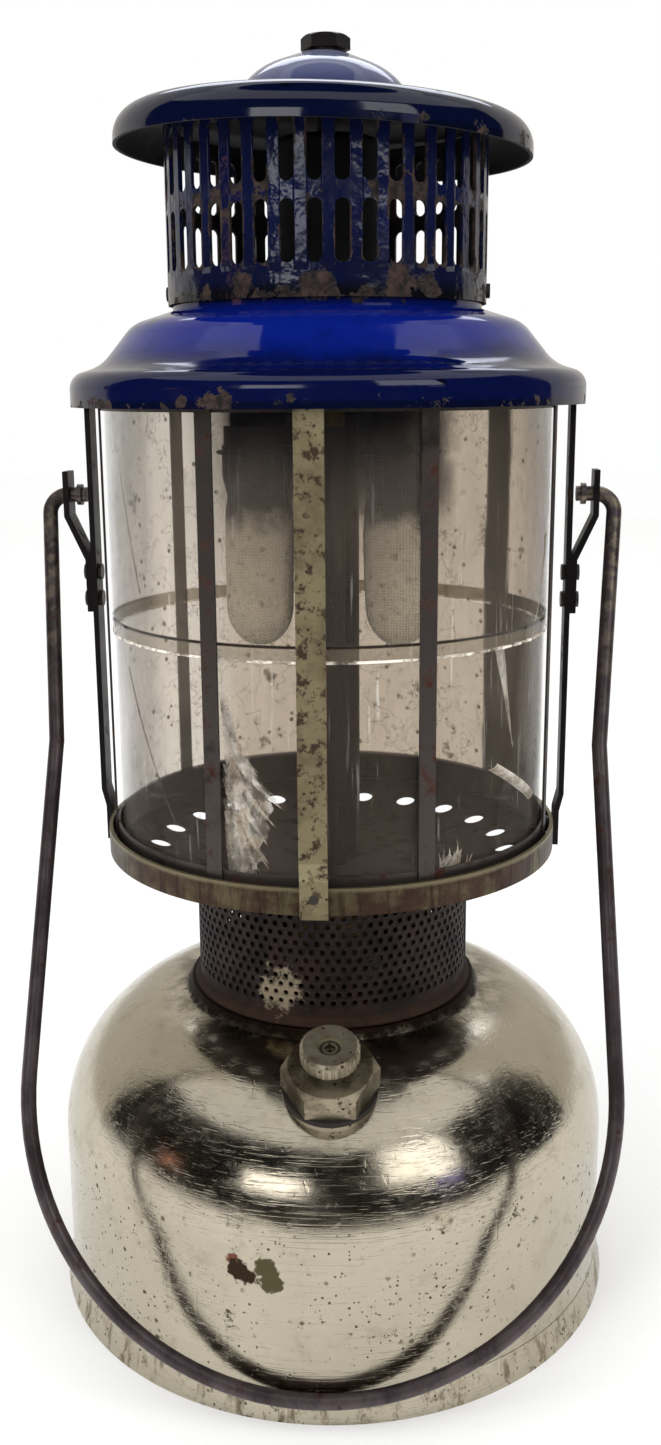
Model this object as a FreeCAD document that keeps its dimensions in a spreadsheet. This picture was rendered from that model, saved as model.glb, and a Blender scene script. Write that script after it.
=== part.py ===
import FreeCAD, Part
import math
import os
import re

import Sketcher
from FreeCAD import Placement, Rotation, Vector

# Pressure lantern with two mantles, a mica globe and an enamelled hood.
# Millimetres. +Z is up, the origin is the middle of the foot, and the filler
# plug faces -Y. The two bail ears lie on the X axis.

SIZES = [
    # fount
    ("tank_radius", 80.1, "outside of the fount wall"),
    ("tank_wall", 0.8, "metal of the fount"),
    ("foot_flare", 1.9, "foot at the table outside the fount wall"),
    ("foot_height", 8.0, "table to the seam of the fount wall"),
    ("foot_metal", 0.9, "metal of the pressed bottom"),
    ("pan_height", 6.5, "table to the underside of the bottom"),
    ("pan_slope", 3.5, "run of the bottom's slope from the fold to its pan"),
    ("shoulder_start", 47.5, "table to where the wall turns into the dome"),
    ("shoulder_centre", 39.3, "axis to the centre of the dome's shoulder"),
    ("crown_radius", 219.4, "profile radius of the dome's crown"),
    ("seat_radius", 43.0, "flat seat under the collar"),
    ("seat_rise", 2.6, "step of that seat above the dome"),
    # filler
    ("filler_inset", 19.1, "fount wall in to the middle of the filler hole"),
    ("filler_turn", 3.3, "degrees from the front to the filler"),
    ("filler_tilt", 21.0, "degrees the filler leans outwards"),
    ("filler_lift", 1.1, "boss flange above the dome at its middle"),
    ("boss_radius", 11.0, "neck of the filler boss"),
    ("boss_depth", 6.0, "neck below its flange"),
    ("flange_radius", 12.4, "flange of the filler boss"),
    ("flange_height", 1.2, "thickness of that flange"),
    ("plug_radius", 8.0, "threaded shank of the filler plug"),
    ("plug_depth", 5.6, "shank below the gasket"),
    ("gasket_height", 1.7, "thickness of the filler gasket"),
    ("plug_flats", 22.2, "filler plug across its flats"),
    ("plug_height", 7.5, "height of the plug's hexagon"),
    ("neck_radius", 5.0, "round neck on the plug"),
    ("neck_height", 2.0, "height of that neck"),
    ("screw_radius", 2.0, "stem of the air screw"),
    ("screw_depth", 14.0, "stem below the knob"),
    ("knob_radius", 7.65, "knurled knob of the air screw"),
    ("knob_height", 5.0, "height of that knob"),
    ("knob_gap", 0.3, "knob above the plug's neck"),
    ("knob_dish", 3.35, "radius of the dish in the knob"),
    ("knob_dish_depth", 1.2, "depth of that dish"),
    ("knob_hole", 1.5, "radius of the hole in the knob"),
    ("knob_hole_depth", 2.8, "depth of that hole below the dish"),
    ("knurl_count", 30, "grooves round the knob"),
    ("knurl_radius", 0.45, "radius of one groove"),
    # valve
    ("bushing_radius", 11.9, "bushing through the fount"),
    ("bushing_flange", 15.0, "flange of that bushing"),
    ("bushing_metal", 1.5, "thickness of that flange"),
    ("bushing_depth", 5.0, "bushing below the seat"),
    ("valve_shank", 8.9, "valve body inside the bushing"),
    ("valve_radius", 11.0, "valve body above the bushing"),
    ("valve_height", 19.0, "valve body above the bushing flange"),
    ("valve_level", 12.0, "collar seat to the valve stem"),
    ("valve_chamfer", 1.5, "chamfer round the top of the valve body"),
    ("valve_roof", 4.0, "metal over the fuel bore"),
    ("branch_radius", 6.5, "side branch for the stem"),
    ("branch_length", 24.0, "axis to the end of the branch"),
    ("packing_flats", 15.0, "packing nut across its flats"),
    ("packing_length", 6.0, "length of the packing nut"),
    ("stem_radius", 3.0, "valve stem"),
    ("stem_start", 10.0, "axis to the tip of the stem"),
    ("stem_relief", 1.0, "bore in front of that tip"),
    ("wheel_reach", 50.0, "axis to the valve wheel"),
    ("wheel_radius", 11.0, "valve wheel"),
    ("wheel_length", 7.0, "thickness of the valve wheel"),
    ("wheel_hub", 1.5, "hub of the wheel in front of its rim"),
    ("wheel_screw", 4.6, "head of the screw that holds the wheel"),
    ("wheel_screw_height", 1.8, "height of that head"),
    ("wheel_notches", 12, "hollows round the valve wheel"),
    ("notch_radius", 1.7, "radius of one hollow"),
    ("notch_place", 11.6, "wheel axis to the middle of a hollow"),
    ("pickup_radius", 4.0, "fuel pickup tube"),
    ("pickup_wall", 0.7, "wall of that tube"),
    ("strainer_radius", 5.5, "strainer at its foot"),
    ("strainer_height", 4.5, "height of the strainer"),
    ("strainer_lift", 1.6, "strainer above the fount's bottom"),
    # collar, tray and guard ring
    ("collar_radius", 39.2, "perforated collar"),
    ("collar_metal", 0.6, "metal of the collar"),
    ("collar_height", 35.0, "height of the collar"),
    ("collar_lip", 1.5, "foot lip of the collar, outwards"),
    ("lip_height", 1.6, "height of that lip"),
    ("seam_angle", 9.0, "degrees covered by the collar's lap"),
    ("stem_hole", 5.5, "hole in the collar for the stem"),
    ("tray_rise", 6.5, "rim of the tray above its floor"),
    ("tray_metal", 0.8, "metal of the tray"),
    ("vent_count", 22, "holes round the tray"),
    ("vent_radius", 3.0, "radius of one hole"),
    ("vent_circle", 50.5, "radius of the circle of holes"),
    ("ring_radius", 63.9, "outside of the guard ring"),
    ("ring_metal", 1.0, "metal of the guard ring"),
    ("ring_height", 7.1, "height of the guard ring"),
    # uprights and bail
    ("post_width", 7.1, "width of an upright"),
    ("post_metal", 1.5, "thickness of an upright"),
    ("post_offset", 1.2, "step of an upright away from the ring"),
    ("post_foot", 9.5, "straight foot of an upright"),
    ("post_step", 5.0, "height of that step"),
    ("post_tab", 3.6, "tab at the top, inwards"),
    ("post_foot_drop", 0.5, "uprights below the edge of the guard ring"),
    ("rivet_radius", 1.2, "shank of a frame rivet"),
    ("rivet_head", 2.2, "head of a frame rivet"),
    ("head_height", 0.9, "height of a rivet head"),
    ("rivet_level", 4.7, "tray rim to the ring rivets"),
    ("ear_width", 7.0, "width of a bail ear"),
    ("ear_metal", 1.6, "thickness of a bail ear"),
    ("ear_foot", 32.5, "pivot down to the foot of an ear"),
    ("ear_bend", 17.5, "pivot down to the ear's bend"),
    ("ear_turn", 5.5, "pivot down to the ear's upper bend"),
    ("ear_top", 6.5, "pivot up to the top of an ear"),
    ("ear_reach", 72.0, "axis to the inner face of an ear's top"),
    ("ear_rivet_low", 3.5, "ear foot up to its lower rivet"),
    ("ear_rivet_high", 11.0, "ear foot up to its upper rivet"),
    ("pivot_level", 99.0, "tray rim up to the bail pivot"),
    ("wire_radius", 2.05, "radius of the bail wire"),
    ("pivot_clearance", 0.08, "bail wire in the ear's hole"),
    ("bail_tip", 67.6, "axis to the end of the wire"),
    ("bail_head", 2.9, "upset head at the end of the wire"),
    ("bail_head_length", 1.3, "length of that head"),
    ("bail_shoulder", 77.8, "axis to the leg under the bend"),
    ("bail_bend", 5.0, "radius of that bend"),
    ("bail_waist", 73.5, "axis to the leg at its waist"),
    ("waist_drop", 69.0, "pivot down to the waist"),
    ("loop_inset", 2.7, "fount wall in to the middle of the loop's wire"),
    ("bail_rest", 7.5, "table to the middle of the wire at rest"),
    ("bail_gap", 0.4, "bail at rest in front of the foot"),
    # globe
    ("globe_gap", 1.6, "cage bands inside the guard ring"),
    ("band_metal", 0.6, "metal of the cage"),
    ("band_height", 8.3, "lower band of the cage"),
    ("top_band", 4.4, "upper band of the cage"),
    ("band_ledge", 1.6, "ledge that holds the mica, inwards"),
    ("globe_height", 125.8, "height of the cage"),
    ("strip_count", 7, "strips of the cage"),
    ("strip_width", 4.5, "width of one strip"),
    ("strip_turn", 26.7, "degrees from the front to the first strip"),
    ("strip_inset", 0.5, "ends of a strip inside the cage's height"),
    ("mica_sheet", 0.3, "thickness of the mica"),
    ("mica_gap", 0.2, "mica to the metal and sheet to sheet"),
    ("mica_joint", 62.2, "cage foot up to the edge of the upper sheet"),
    ("mica_lap", 4.2, "overlap of the two sheets"),
    # burner
    ("burner_level", 10.5, "hood rim up to the manifold's axis"),
    ("burner_spread", 19.5, "axis to the middle of a burner"),
    ("manifold_radius", 7.5, "arms and necks of the manifold"),
    ("neck_drop", 16.0, "manifold axis down to the end of a neck"),
    ("neck_bore", 5.5, "bore of a neck"),
    ("hub_radius", 12.0, "hub of the manifold"),
    ("hub_half", 8.0, "half the height of that hub"),
    ("cap_burner_radius", 9.3, "burner cap"),
    ("cap_burner_height", 14.0, "height of a burner cap"),
    ("cap_burner_wall", 0.8, "metal of a burner cap"),
    ("cap_burner_roof", 1.5, "metal at the top of a burner cap"),
    ("tie_groove", 0.9, "depth of the groove for the mantle's tie"),
    ("tie_level", 7.0, "groove up from the foot of a burner cap"),
    ("tie_width", 2.4, "width of that groove"),
    ("screen_hole", 1.3, "radius of a hole in the burner screen"),
    ("screen_count", 6, "holes round the burner screen"),
    ("screen_circle", 4.6, "radius of the circle of those holes"),
    ("mantle_radius", 10.2, "widest radius of a mantle"),
    ("mantle_drop", 47.0, "length of a mantle below its burner cap"),
    ("mantle_sheet", 0.6, "thickness of a mantle"),
    ("mantle_round", 9.4, "rounding of a mantle's foot"),
    ("mantle_collar", 9.2, "mantle above the foot of the burner cap"),
    ("tie_thread", 0.45, "radius of a mantle's tie"),
    ("air_tube_radius", 7.95, "air tube"),
    ("air_tube_wall", 0.8, "wall of the air tube"),
    ("air_tube_back", 8.0, "air tube behind the axis"),
    ("air_tube_gap", 0.5, "air tube above the generator nut"),
    ("generator_radius", 4.75, "generator tube"),
    ("generator_wall", 0.8, "wall of the generator"),
    ("generator_front", 6.2, "generator in front of the axis"),
    ("generator_flats", 12.7, "generator nut across its flats"),
    ("generator_nut", 6.0, "height of the generator nut"),
    ("tip_height", 8.0, "height of the gas tip"),
    ("tip_radius", 3.4, "gas tip"),
    ("tip_hole", 0.5, "radius of the jet"),
    ("mixer_radius", 14.0, "mixing chamber"),
    ("mixer_height", 49.0, "height of the mixing chamber"),
    ("mixer_wall", 1.0, "metal of the mixing chamber"),
    ("stud_radius", 2.4, "centre stud"),
    # hood, drum and cap
    ("guard_height", 123.0, "tray rim up to the hood rim"),
    ("hood_overhang", 2.4, "hood rim outside the uprights"),
    ("hood_metal", 0.9, "metal and enamel of the hood"),
    ("rim_bead", 1.1, "bead round the hood's rim"),
    ("skirt_height", 7.9, "upright skirt of the hood"),
    ("ledge_width", 8.5, "ledge above the skirt, inwards"),
    ("ledge_height", 10.5, "hood rim up to the ledge's inner edge"),
    ("crest_radius", 52.0, "axis to the crest of the hood"),
    ("crest_height", 21.0, "hood rim up to the crest"),
    ("throat_height", 24.4, "hood rim up to the throat"),
    ("throat_length", 7.0, "throat inside the drum"),
    ("shoulder_round", 4.5, "rounding of the hood's shoulder"),
    ("valley_round", 11.0, "rounding of the hood's hollow"),
    ("crest_round", 9.0, "rounding of the hood's crest"),
    ("post_drop", 0.7, "uprights below the corner of the shoulder"),
    ("drum_radius", 42.3, "ventilator drum"),
    ("drum_metal", 0.8, "metal of the drum"),
    ("drum_gap", 0.3, "throat of the hood inside the drum"),
    ("drum_lift", 25.8, "hood rim up to the foot of the drum"),
    ("drum_height", 44.9, "height of the drum"),
    ("slot_count", 40, "slots in one row"),
    ("slot_width", 3.6, "width of a slot"),
    ("slot_height", 14.5, "height of a slot"),
    ("slot_start", 7.8, "foot of the drum up to the lower slots"),
    ("slot_band", 3.8, "band between the two rows"),
    ("drum_rivet_level", 3.4, "foot of the drum up to its rivets"),
    ("drum_rivet", 1.0, "shank of a drum rivet"),
    ("drum_rivet_head", 1.9, "head of a drum rivet"),
    ("cap_radius", 54.5, "brim of the cap"),
    ("cap_metal", 0.9, "metal and enamel of the cap"),
    ("cap_skirt", 8.2, "turned-down edge of the brim"),
    ("cap_round", 7.2, "rounding of the brim"),
    ("cap_hollow", 5.5, "rounding between brim and dome"),
    ("cap_crown", 18.0, "rounding of the dome's shoulder"),
    ("brim_inner", 24.0, "axis to the inner edge of the brim"),
    ("brim_rise", 3.7, "rise of the brim towards the dome"),
    ("cap_shoulder", 18.4, "axis to the shoulder of the cap's dome"),
    ("shoulder_rise", 7.6, "rise from the brim to that shoulder"),
    ("cap_top", 6.4, "flat top of the cap"),
    ("top_rise", 4.6, "rise from the shoulder to the flat top"),
    ("cap_tilt", 2.0, "degrees the cap sits askew"),
    ("stud_clearance", 0.8, "hole in the cap round the stud"),
    ("washer_radius", 5.2, "washer under the cap nut"),
    ("washer_height", 0.7, "thickness of that washer"),
    ("nut_flats", 11.1, "cap nut across its flats"),
    ("nut_height", 3.4, "height of the cap nut"),
    ("nut_cover", 0.9, "closed top of the cap nut"),
    # hexagons, turned edges and cutters
    ("hex_margin", 0.2, "top of a hexagon inside its flats"),
    ("hex_bevel", 30, "degrees of the bevel on a hexagon"),
    ("edge_break", 0.8, "chamfer of a turned edge"),
    ("cut_over", 1.0, "length of a cutter past the face it opens"),
    # fits
    ("running_fit", 0.05, "radial clearance of turning shafts"),
    ("seat_gap", 0.3, "clearance of loosely stacked pieces"),
    ("tube_fit", 0.2, "radial clearance of tubes in sheet metal"),
]

doc = FreeCAD.newDocument("pressure_lantern")
sheet = doc.addObject("Spreadsheet::Sheet", "sizes")
for row, (alias, number, meaning) in enumerate(SIZES, start=1):
    sheet.set(f"A{row}", alias)
    sheet.set(f"B{row}", str(number))
    sheet.set(f"C{row}", meaning)
    sheet.setAlias(f"B{row}", alias)
doc.recompute()

SIZE_NAME = re.compile(r"\b(" + "|".join(name for name, number, meaning in SIZES) + r")\b")
pieces = []


# Formulas -----------------------------------------------------------------

def formula(text):
    """An expression over the sheet, from one over plain size names."""
    return SIZE_NAME.sub(r"sizes.\1", text)


def value(text):
    """The present value of such an expression, in millimetres or degrees."""
    found = sheet.evalExpression(formula(text))
    return float(getattr(found, "Value", found))


def bind(target, name, text):
    """Tie one property of an object to the sheet."""
    target.setExpression(name, formula(text))


SHOULDER_RADIUS = "(tank_radius - shoulder_centre)"
CROWN_CENTRE = (
    f"(shoulder_start - sqrt((crown_radius - {SHOULDER_RADIUS})^2 - shoulder_centre^2))"
)
FOOT_RADIUS = "(tank_radius + foot_flare)"
SEAM_RADIUS = "(tank_radius + foot_metal - tank_wall)"
FOLD_RADIUS = "(tank_radius - foot_metal)"
FILLER_REACH = "(tank_radius - filler_inset)"
SEAT = f"({CROWN_CENTRE} + sqrt(crown_radius^2 - seat_radius^2) + seat_rise)"
COLLAR_TOP = f"({SEAT} + collar_height)"
TRAY_RIM = f"({COLLAR_TOP} + tray_rise)"
RING_INNER = "(ring_radius - ring_metal)"
TRAY_RADIUS = f"({RING_INNER} - seat_gap)"
POST_INNER = "(ring_radius + post_offset)"
POST_OUTER = f"({POST_INNER} + post_metal)"
PIVOT = f"({TRAY_RIM} + pivot_level)"
BAIL_REACH = f"({SEAM_RADIUS} + bail_gap + wire_radius)"
BAIL_LENGTH = f"sqrt({BAIL_REACH}^2 + ({PIVOT} - bail_rest)^2)"
LOOP_RADIUS = "(tank_radius - loop_inset)"
LOOP_DROP = f"({BAIL_LENGTH} - {LOOP_RADIUS})"
BAND_RADIUS = f"({RING_INNER} - globe_gap)"
BAND_INNER = f"({BAND_RADIUS} - band_metal)"
GLOBE_FOOT = (
    f"({COLLAR_TOP} + tray_metal + seat_gap"
    f" + tray_rise * ({BAND_RADIUS} - collar_radius) / ({TRAY_RADIUS} - collar_radius))"
)
HOOD_RIM = f"({TRAY_RIM} + guard_height)"
HOOD_RADIUS = f"({POST_OUTER} + hood_overhang)"
THROAT = "(drum_radius - drum_metal - drum_gap)"
MANIFOLD = f"({HOOD_RIM} + burner_level)"
BURNER_FOOT = f"({MANIFOLD} - neck_drop - cap_burner_height)"
HUB_TOP = f"({MANIFOLD} + hub_half)"
MIXER_TOP = f"({HUB_TOP} + mixer_height)"
DRUM_FOOT = f"({HOOD_RIM} + drum_lift)"
DRUM_TOP = f"({DRUM_FOOT} + drum_height)"
BRIM_SLOPE = "(brim_rise / (cap_radius - brim_inner))"
CAP_EDGE = (
    f"({DRUM_TOP} + seat_gap + drum_radius * tan(cap_tilt)"
    f" + cap_metal * sqrt(1 + {BRIM_SLOPE}^2)"
    f" - cap_skirt - {BRIM_SLOPE} * (cap_radius - drum_radius))"
)
CAP_HEIGHT = "(cap_skirt + brim_rise + shoulder_rise + top_rise)"
WASHER_FOOT = f"({CAP_EDGE} + {CAP_HEIGHT} + seat_gap)"
NUT_FOOT = f"({WASHER_FOOT} + washer_height)"
VALVE_FOOT = f"({SEAT} - bushing_depth)"
VALVE_TOP = f"({SEAT} + bushing_metal + valve_height)"
AIR_TUBE_FOOT = f"({VALVE_TOP} + generator_nut + air_tube_gap)"
GASKET_FOOT = "flange_height"
PLUG_FOOT = f"({GASKET_FOOT} + gasket_height)"
PLUG_TOP = f"({PLUG_FOOT} + plug_height + neck_height)"
KNOB_FOOT = f"({PLUG_TOP} + knob_gap)"
POSTS = "4"


# Shared building steps ----------------------------------------------------

def new_body(label):
    """An empty body, which may hold several solids."""
    body = doc.addObject("PartDesign::Body", label)
    body.Label = label
    body.AllowCompound = True
    return body


def new_piece(label):
    """An empty body that becomes one exported piece."""
    body = new_body(label)
    pieces.append(body)
    return body


def origin_part(body, role):
    """One of the body's own origin planes or axes."""
    return next(part for part in body.Origin.OriginFeatures if part.Role == role)


def new_sketch(body, plane):
    """A sketch on one of the body's own origin planes."""
    sketch = body.newObject("Sketcher::SketchObject", "Sketch")
    sketch.AttachmentSupport = [(origin_part(body, plane), "")]
    sketch.MapMode = "FlatFace"
    return sketch


def pin_point(sketch, edge, end, across, along):
    """Fix one end of a sketch edge at two formulas."""
    for kind, text in (("DistanceX", across), ("DistanceY", along)):
        rule = Sketcher.Constraint(kind, -1, 1, edge, end, value(text))
        number = sketch.addConstraint(rule)
        bind(sketch, f"Constraints[{number}]", text)


def polygon(body, plane, corners):
    """A closed straight-sided outline whose corners are formulas."""
    sketch = new_sketch(body, plane)
    places = [Vector(value(a), value(b), 0) for a, b in corners]
    count = len(places)
    for edge in range(count):
        sketch.addGeometry(Part.LineSegment(places[edge], places[(edge + 1) % count]))
    for edge in range(count):
        sketch.addConstraint(Sketcher.Constraint("Coincident", edge, 2, (edge + 1) % count, 1))
    for edge, (across, along) in enumerate(corners):
        pin_point(sketch, edge, 1, across, along)
    return sketch


def rounded_sheet(body, metal, corners):
    """A sheet of metal along an open outline, lying inside it, in the XZ plane.

    A corner is a radius, a height and, where it is rounded, a bend radius.
    """
    sketch = new_sketch(body, "XZ_Plane")
    places = [Vector(value(corner[0]), value(corner[1]), 0) for corner in corners]
    for edge in range(len(places) - 1):
        sketch.addGeometry(Part.LineSegment(places[edge], places[edge + 1]), True)
        pin_point(sketch, edge, 1, corners[edge][0], corners[edge][1])
        if edge > 0:
            sketch.addConstraint(Sketcher.Constraint("Coincident", edge - 1, 2, edge, 1))
    pin_point(sketch, len(places) - 2, 2, corners[-1][0], corners[-1][1])
    outer = bent_chain(sketch, places, corners, "0")
    inner = bent_chain(sketch, inner_corners(places, value(metal)), corners, metal)
    for number in range(len(outer) - 1):
        sketch.addConstraint(Sketcher.Constraint("PointOnObject", outer[number], 2, number))
        sketch.addConstraint(
            Sketcher.Constraint("PointOnObject", outer[number + 1], 1, number + 1))
    for outside, inside in zip(outer, inner):
        sketch.addConstraint(Sketcher.Constraint("Parallel", outside, inside))
        rule = sketch.addConstraint(
            Sketcher.Constraint("Distance", inside, 1, outside, value(metal)))
        bind(sketch, f"Constraints[{rule}]", metal)
    close_end(sketch, outer[0], inner[0], 1, 0)
    close_end(sketch, outer[-1], inner[-1], 2, len(places) - 2)
    return sketch


def inner_corners(places, metal):
    """The corners of an open outline moved inside by the metal."""
    normals = []
    for start, end in zip(places, places[1:]):
        along = end.sub(start).normalize()
        normals.append(Vector(-along.y, along.x, 0))
    moved = [places[0].add(normals[0] * metal)]
    for place, before, after in zip(places[1:], normals, normals[1:]):
        mitre = before.add(after) * (metal / (1 + before.dot(after)))
        moved.append(place.add(mitre))
    moved.append(places[-1].add(normals[-1] * metal))
    return moved


def bent_chain(sketch, places, corners, metal):
    """Lines between places with tangent arcs at the rounded ones."""
    starts = [places[0]]
    stops = []
    bends = []
    for number in range(1, len(places) - 1):
        place = places[number]
        back = places[number - 1].sub(place).normalize()
        ahead = places[number + 1].sub(place).normalize()
        outwards = back.cross(ahead).z < 0
        rule = "0"
        if len(corners[number]) == 3:
            rule = f"{corners[number][2]} {'-' if outwards else '+'} {metal}"
        half = back.getAngle(ahead) / 2
        reach = value(rule) / math.tan(half)
        stops.append(place.add(back * reach))
        starts.append(place.add(ahead * reach))
        heart = place.add(back.add(ahead).normalize() * (value(rule) / math.sin(half)))
        bends.append((rule, heart, outwards))
    stops.append(places[-1])
    lines = [sketch.addGeometry(Part.LineSegment(start, stop))
             for start, stop in zip(starts, stops)]
    for number, (rule, heart, outwards) in enumerate(bends):
        before, after = lines[number], lines[number + 1]
        if rule == "0":
            sketch.addConstraint(Sketcher.Constraint("Coincident", before, 2, after, 1))
            continue
        ends = [stops[number].sub(heart), starts[number + 1].sub(heart)]
        if not outwards:
            ends.reverse()
        angles = [math.atan2(end.y, end.x) for end in ends]
        circle = Part.Circle(heart, Vector(0, 0, 1), value(rule))
        arc = sketch.addGeometry(Part.ArcOfCircle(circle, *angles))
        near, far = (1, 2) if outwards else (2, 1)
        sketch.addConstraint(Sketcher.Constraint("Tangent", before, 2, arc, near))
        sketch.addConstraint(Sketcher.Constraint("Tangent", arc, far, after, 1))
        bend = sketch.addConstraint(Sketcher.Constraint("Radius", arc, value(rule)))
        bind(sketch, f"Constraints[{bend}]", rule)
    return lines


def close_end(sketch, outside, inside, point, guide):
    """Join the two skins of a sheet square to its outer one."""
    geometry = sketch.Geometry
    side = "StartPoint" if point == 1 else "EndPoint"
    cap = sketch.addGeometry(Part.LineSegment(getattr(geometry[outside], side),
                                              getattr(geometry[inside], side)))
    sketch.addConstraint(Sketcher.Constraint("Coincident", cap, 1, outside, point))
    sketch.addConstraint(Sketcher.Constraint("Coincident", cap, 2, inside, point))
    sketch.addConstraint(Sketcher.Constraint("Perpendicular", cap, outside))
    sketch.addConstraint(Sketcher.Constraint("Coincident", outside, point, guide, point))


def revolve(body, sketch):
    """Turn an outline in the XZ plane a full circle about Z."""
    turn = body.newObject("PartDesign::Revolution", "Turn")
    turn.Profile = sketch
    turn.ReferenceAxis = (sketch, ["V_Axis"])
    turn.Angle = 360
    doc.recompute()
    return turn


def lathe(body, *corners):
    """Turn an outline of radius and height about Z."""
    return revolve(body, polygon(body, "XZ_Plane", corners))


def extrude(body, plane, corners, length):
    """Pad an outline by the same length to both sides of its plane."""
    pad = body.newObject("PartDesign::Pad", "Pad")
    pad.Profile = polygon(body, plane, corners)
    bind(pad, "Length", length)
    pad.Midplane = True
    doc.recompute()
    return pad


def put(feature, x, y, z, turn=Rotation()):
    """Place a feature or a body by formulas, with a fixed rotation."""
    feature.Placement = Placement(Vector(value(x), value(y), value(z)), turn)
    for axis, text in (("x", x), ("y", y), ("z", z)):
        bind(feature, f"Placement.Base.{axis}", text)


ALONG_X = Rotation(Vector(0, 1, 0), 90)
ALONG_Y = Rotation(Vector(1, 0, 0), -90)


def cylinder(body, kind, radius, height, x="0", y="0", z="0", turn=Rotation()):
    """Add ("Additive") or cut ("Subtractive") a cylinder."""
    feature = body.newObject(f"PartDesign::{kind}Cylinder", "Cylinder")
    bind(feature, "Radius", radius)
    bind(feature, "Height", height)
    put(feature, x, y, z, turn)
    doc.recompute()
    return feature


def on_both_sides(body, kind, radius, length, start, level):
    """The same cylinder along +X and along -X, from a distance to the axis."""
    cylinder(body, kind, radius, length, x=start, z=level, turn=ALONG_X)
    cylinder(body, kind, radius, length, x=f"-({start}) - ({length})", z=level, turn=ALONG_X)


def hexagon(body, flats, height, z="0", turn=Rotation(), y="0"):
    """Add a hexagonal prism, given its size across the flats."""
    prism = body.newObject("PartDesign::AdditivePrism", "Hexagon")
    prism.Polygon = 6
    bind(prism, "Circumradius", f"{flats} / sqrt(3)")
    bind(prism, "Height", height)
    put(prism, "0", y, z, turn)
    doc.recompute()
    return prism


def around(body, features, count, axis="Z_Axis"):
    """Repeat features evenly round one of the body's axes."""
    pattern = body.newObject("PartDesign::PolarPattern", "Pattern")
    pattern.Originals = features
    pattern.Axis = (origin_part(body, axis), [""])
    pattern.Angle = 360
    bind(pattern, "Occurrences", count)
    body.Tip = pattern
    doc.recompute()
    return pattern


def ring_edges(shape, radius, height):
    """Names of the circular edges about Z at one radius and height."""
    names = []
    for number, edge in enumerate(shape.Edges, start=1):
        curve = edge.Curve
        if not isinstance(curve, Part.Circle):
            continue
        on_axis = math.hypot(curve.Center.x, curve.Center.y) < 0.001
        at_height = abs(curve.Center.z - height) < 0.001
        if on_axis and at_height and abs(curve.Radius - radius) < 0.001:
            names.append(f"Edge{number}")
    return names


def soften(body, kind, size, *corners):
    """Fillet or chamfer the circular edges at the given corners."""
    base = body.Tip
    names = []
    for radius, height in corners:
        names += ring_edges(base.Shape, value(radius), value(height))
    feature = body.newObject(f"PartDesign::{kind}", kind)
    feature.Base = (base, names)
    bind(feature, "Radius" if kind == "Fillet" else "Size", size)
    doc.recompute()
    return feature


def hollow(body, metal, *levels):
    """Leave a sheet inside the form, open at its flat faces at some levels."""
    base = body.Tip
    heights = [value(level) for level in levels]
    names = []
    for number, face in enumerate(base.Shape.Faces, start=1):
        if not isinstance(face.Surface, Part.Plane):
            continue
        if any(abs(face.CenterOfMass.z - height) < 0.001 for height in heights):
            names.append(f"Face{number}")
    shell = body.newObject("PartDesign::Thickness", "Sheet")
    shell.Base = (base, names)
    bind(shell, "Value", metal)
    shell.Reversed = True
    shell.Mode = 0
    shell.Join = 0
    doc.recompute()
    return shell


# Fount --------------------------------------------------------------------

def filler_placement():
    """The frame of the filler: its Z axis leaves the fount."""
    across = value(f"{FILLER_REACH} - shoulder_centre")
    rise = math.sqrt(value(SHOULDER_RADIUS) ** 2 - across ** 2)
    turn = Rotation(Vector(0, 0, 1), value("filler_turn"))
    lean = turn.multiply(Rotation(Vector(1, 0, 0), value("filler_tilt")))
    foot = turn.multVec(Vector(0, -value(FILLER_REACH), value("shoulder_start") + rise))
    return Placement(foot + lean.multVec(Vector(0, 0, value("filler_lift"))), lean)


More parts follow.
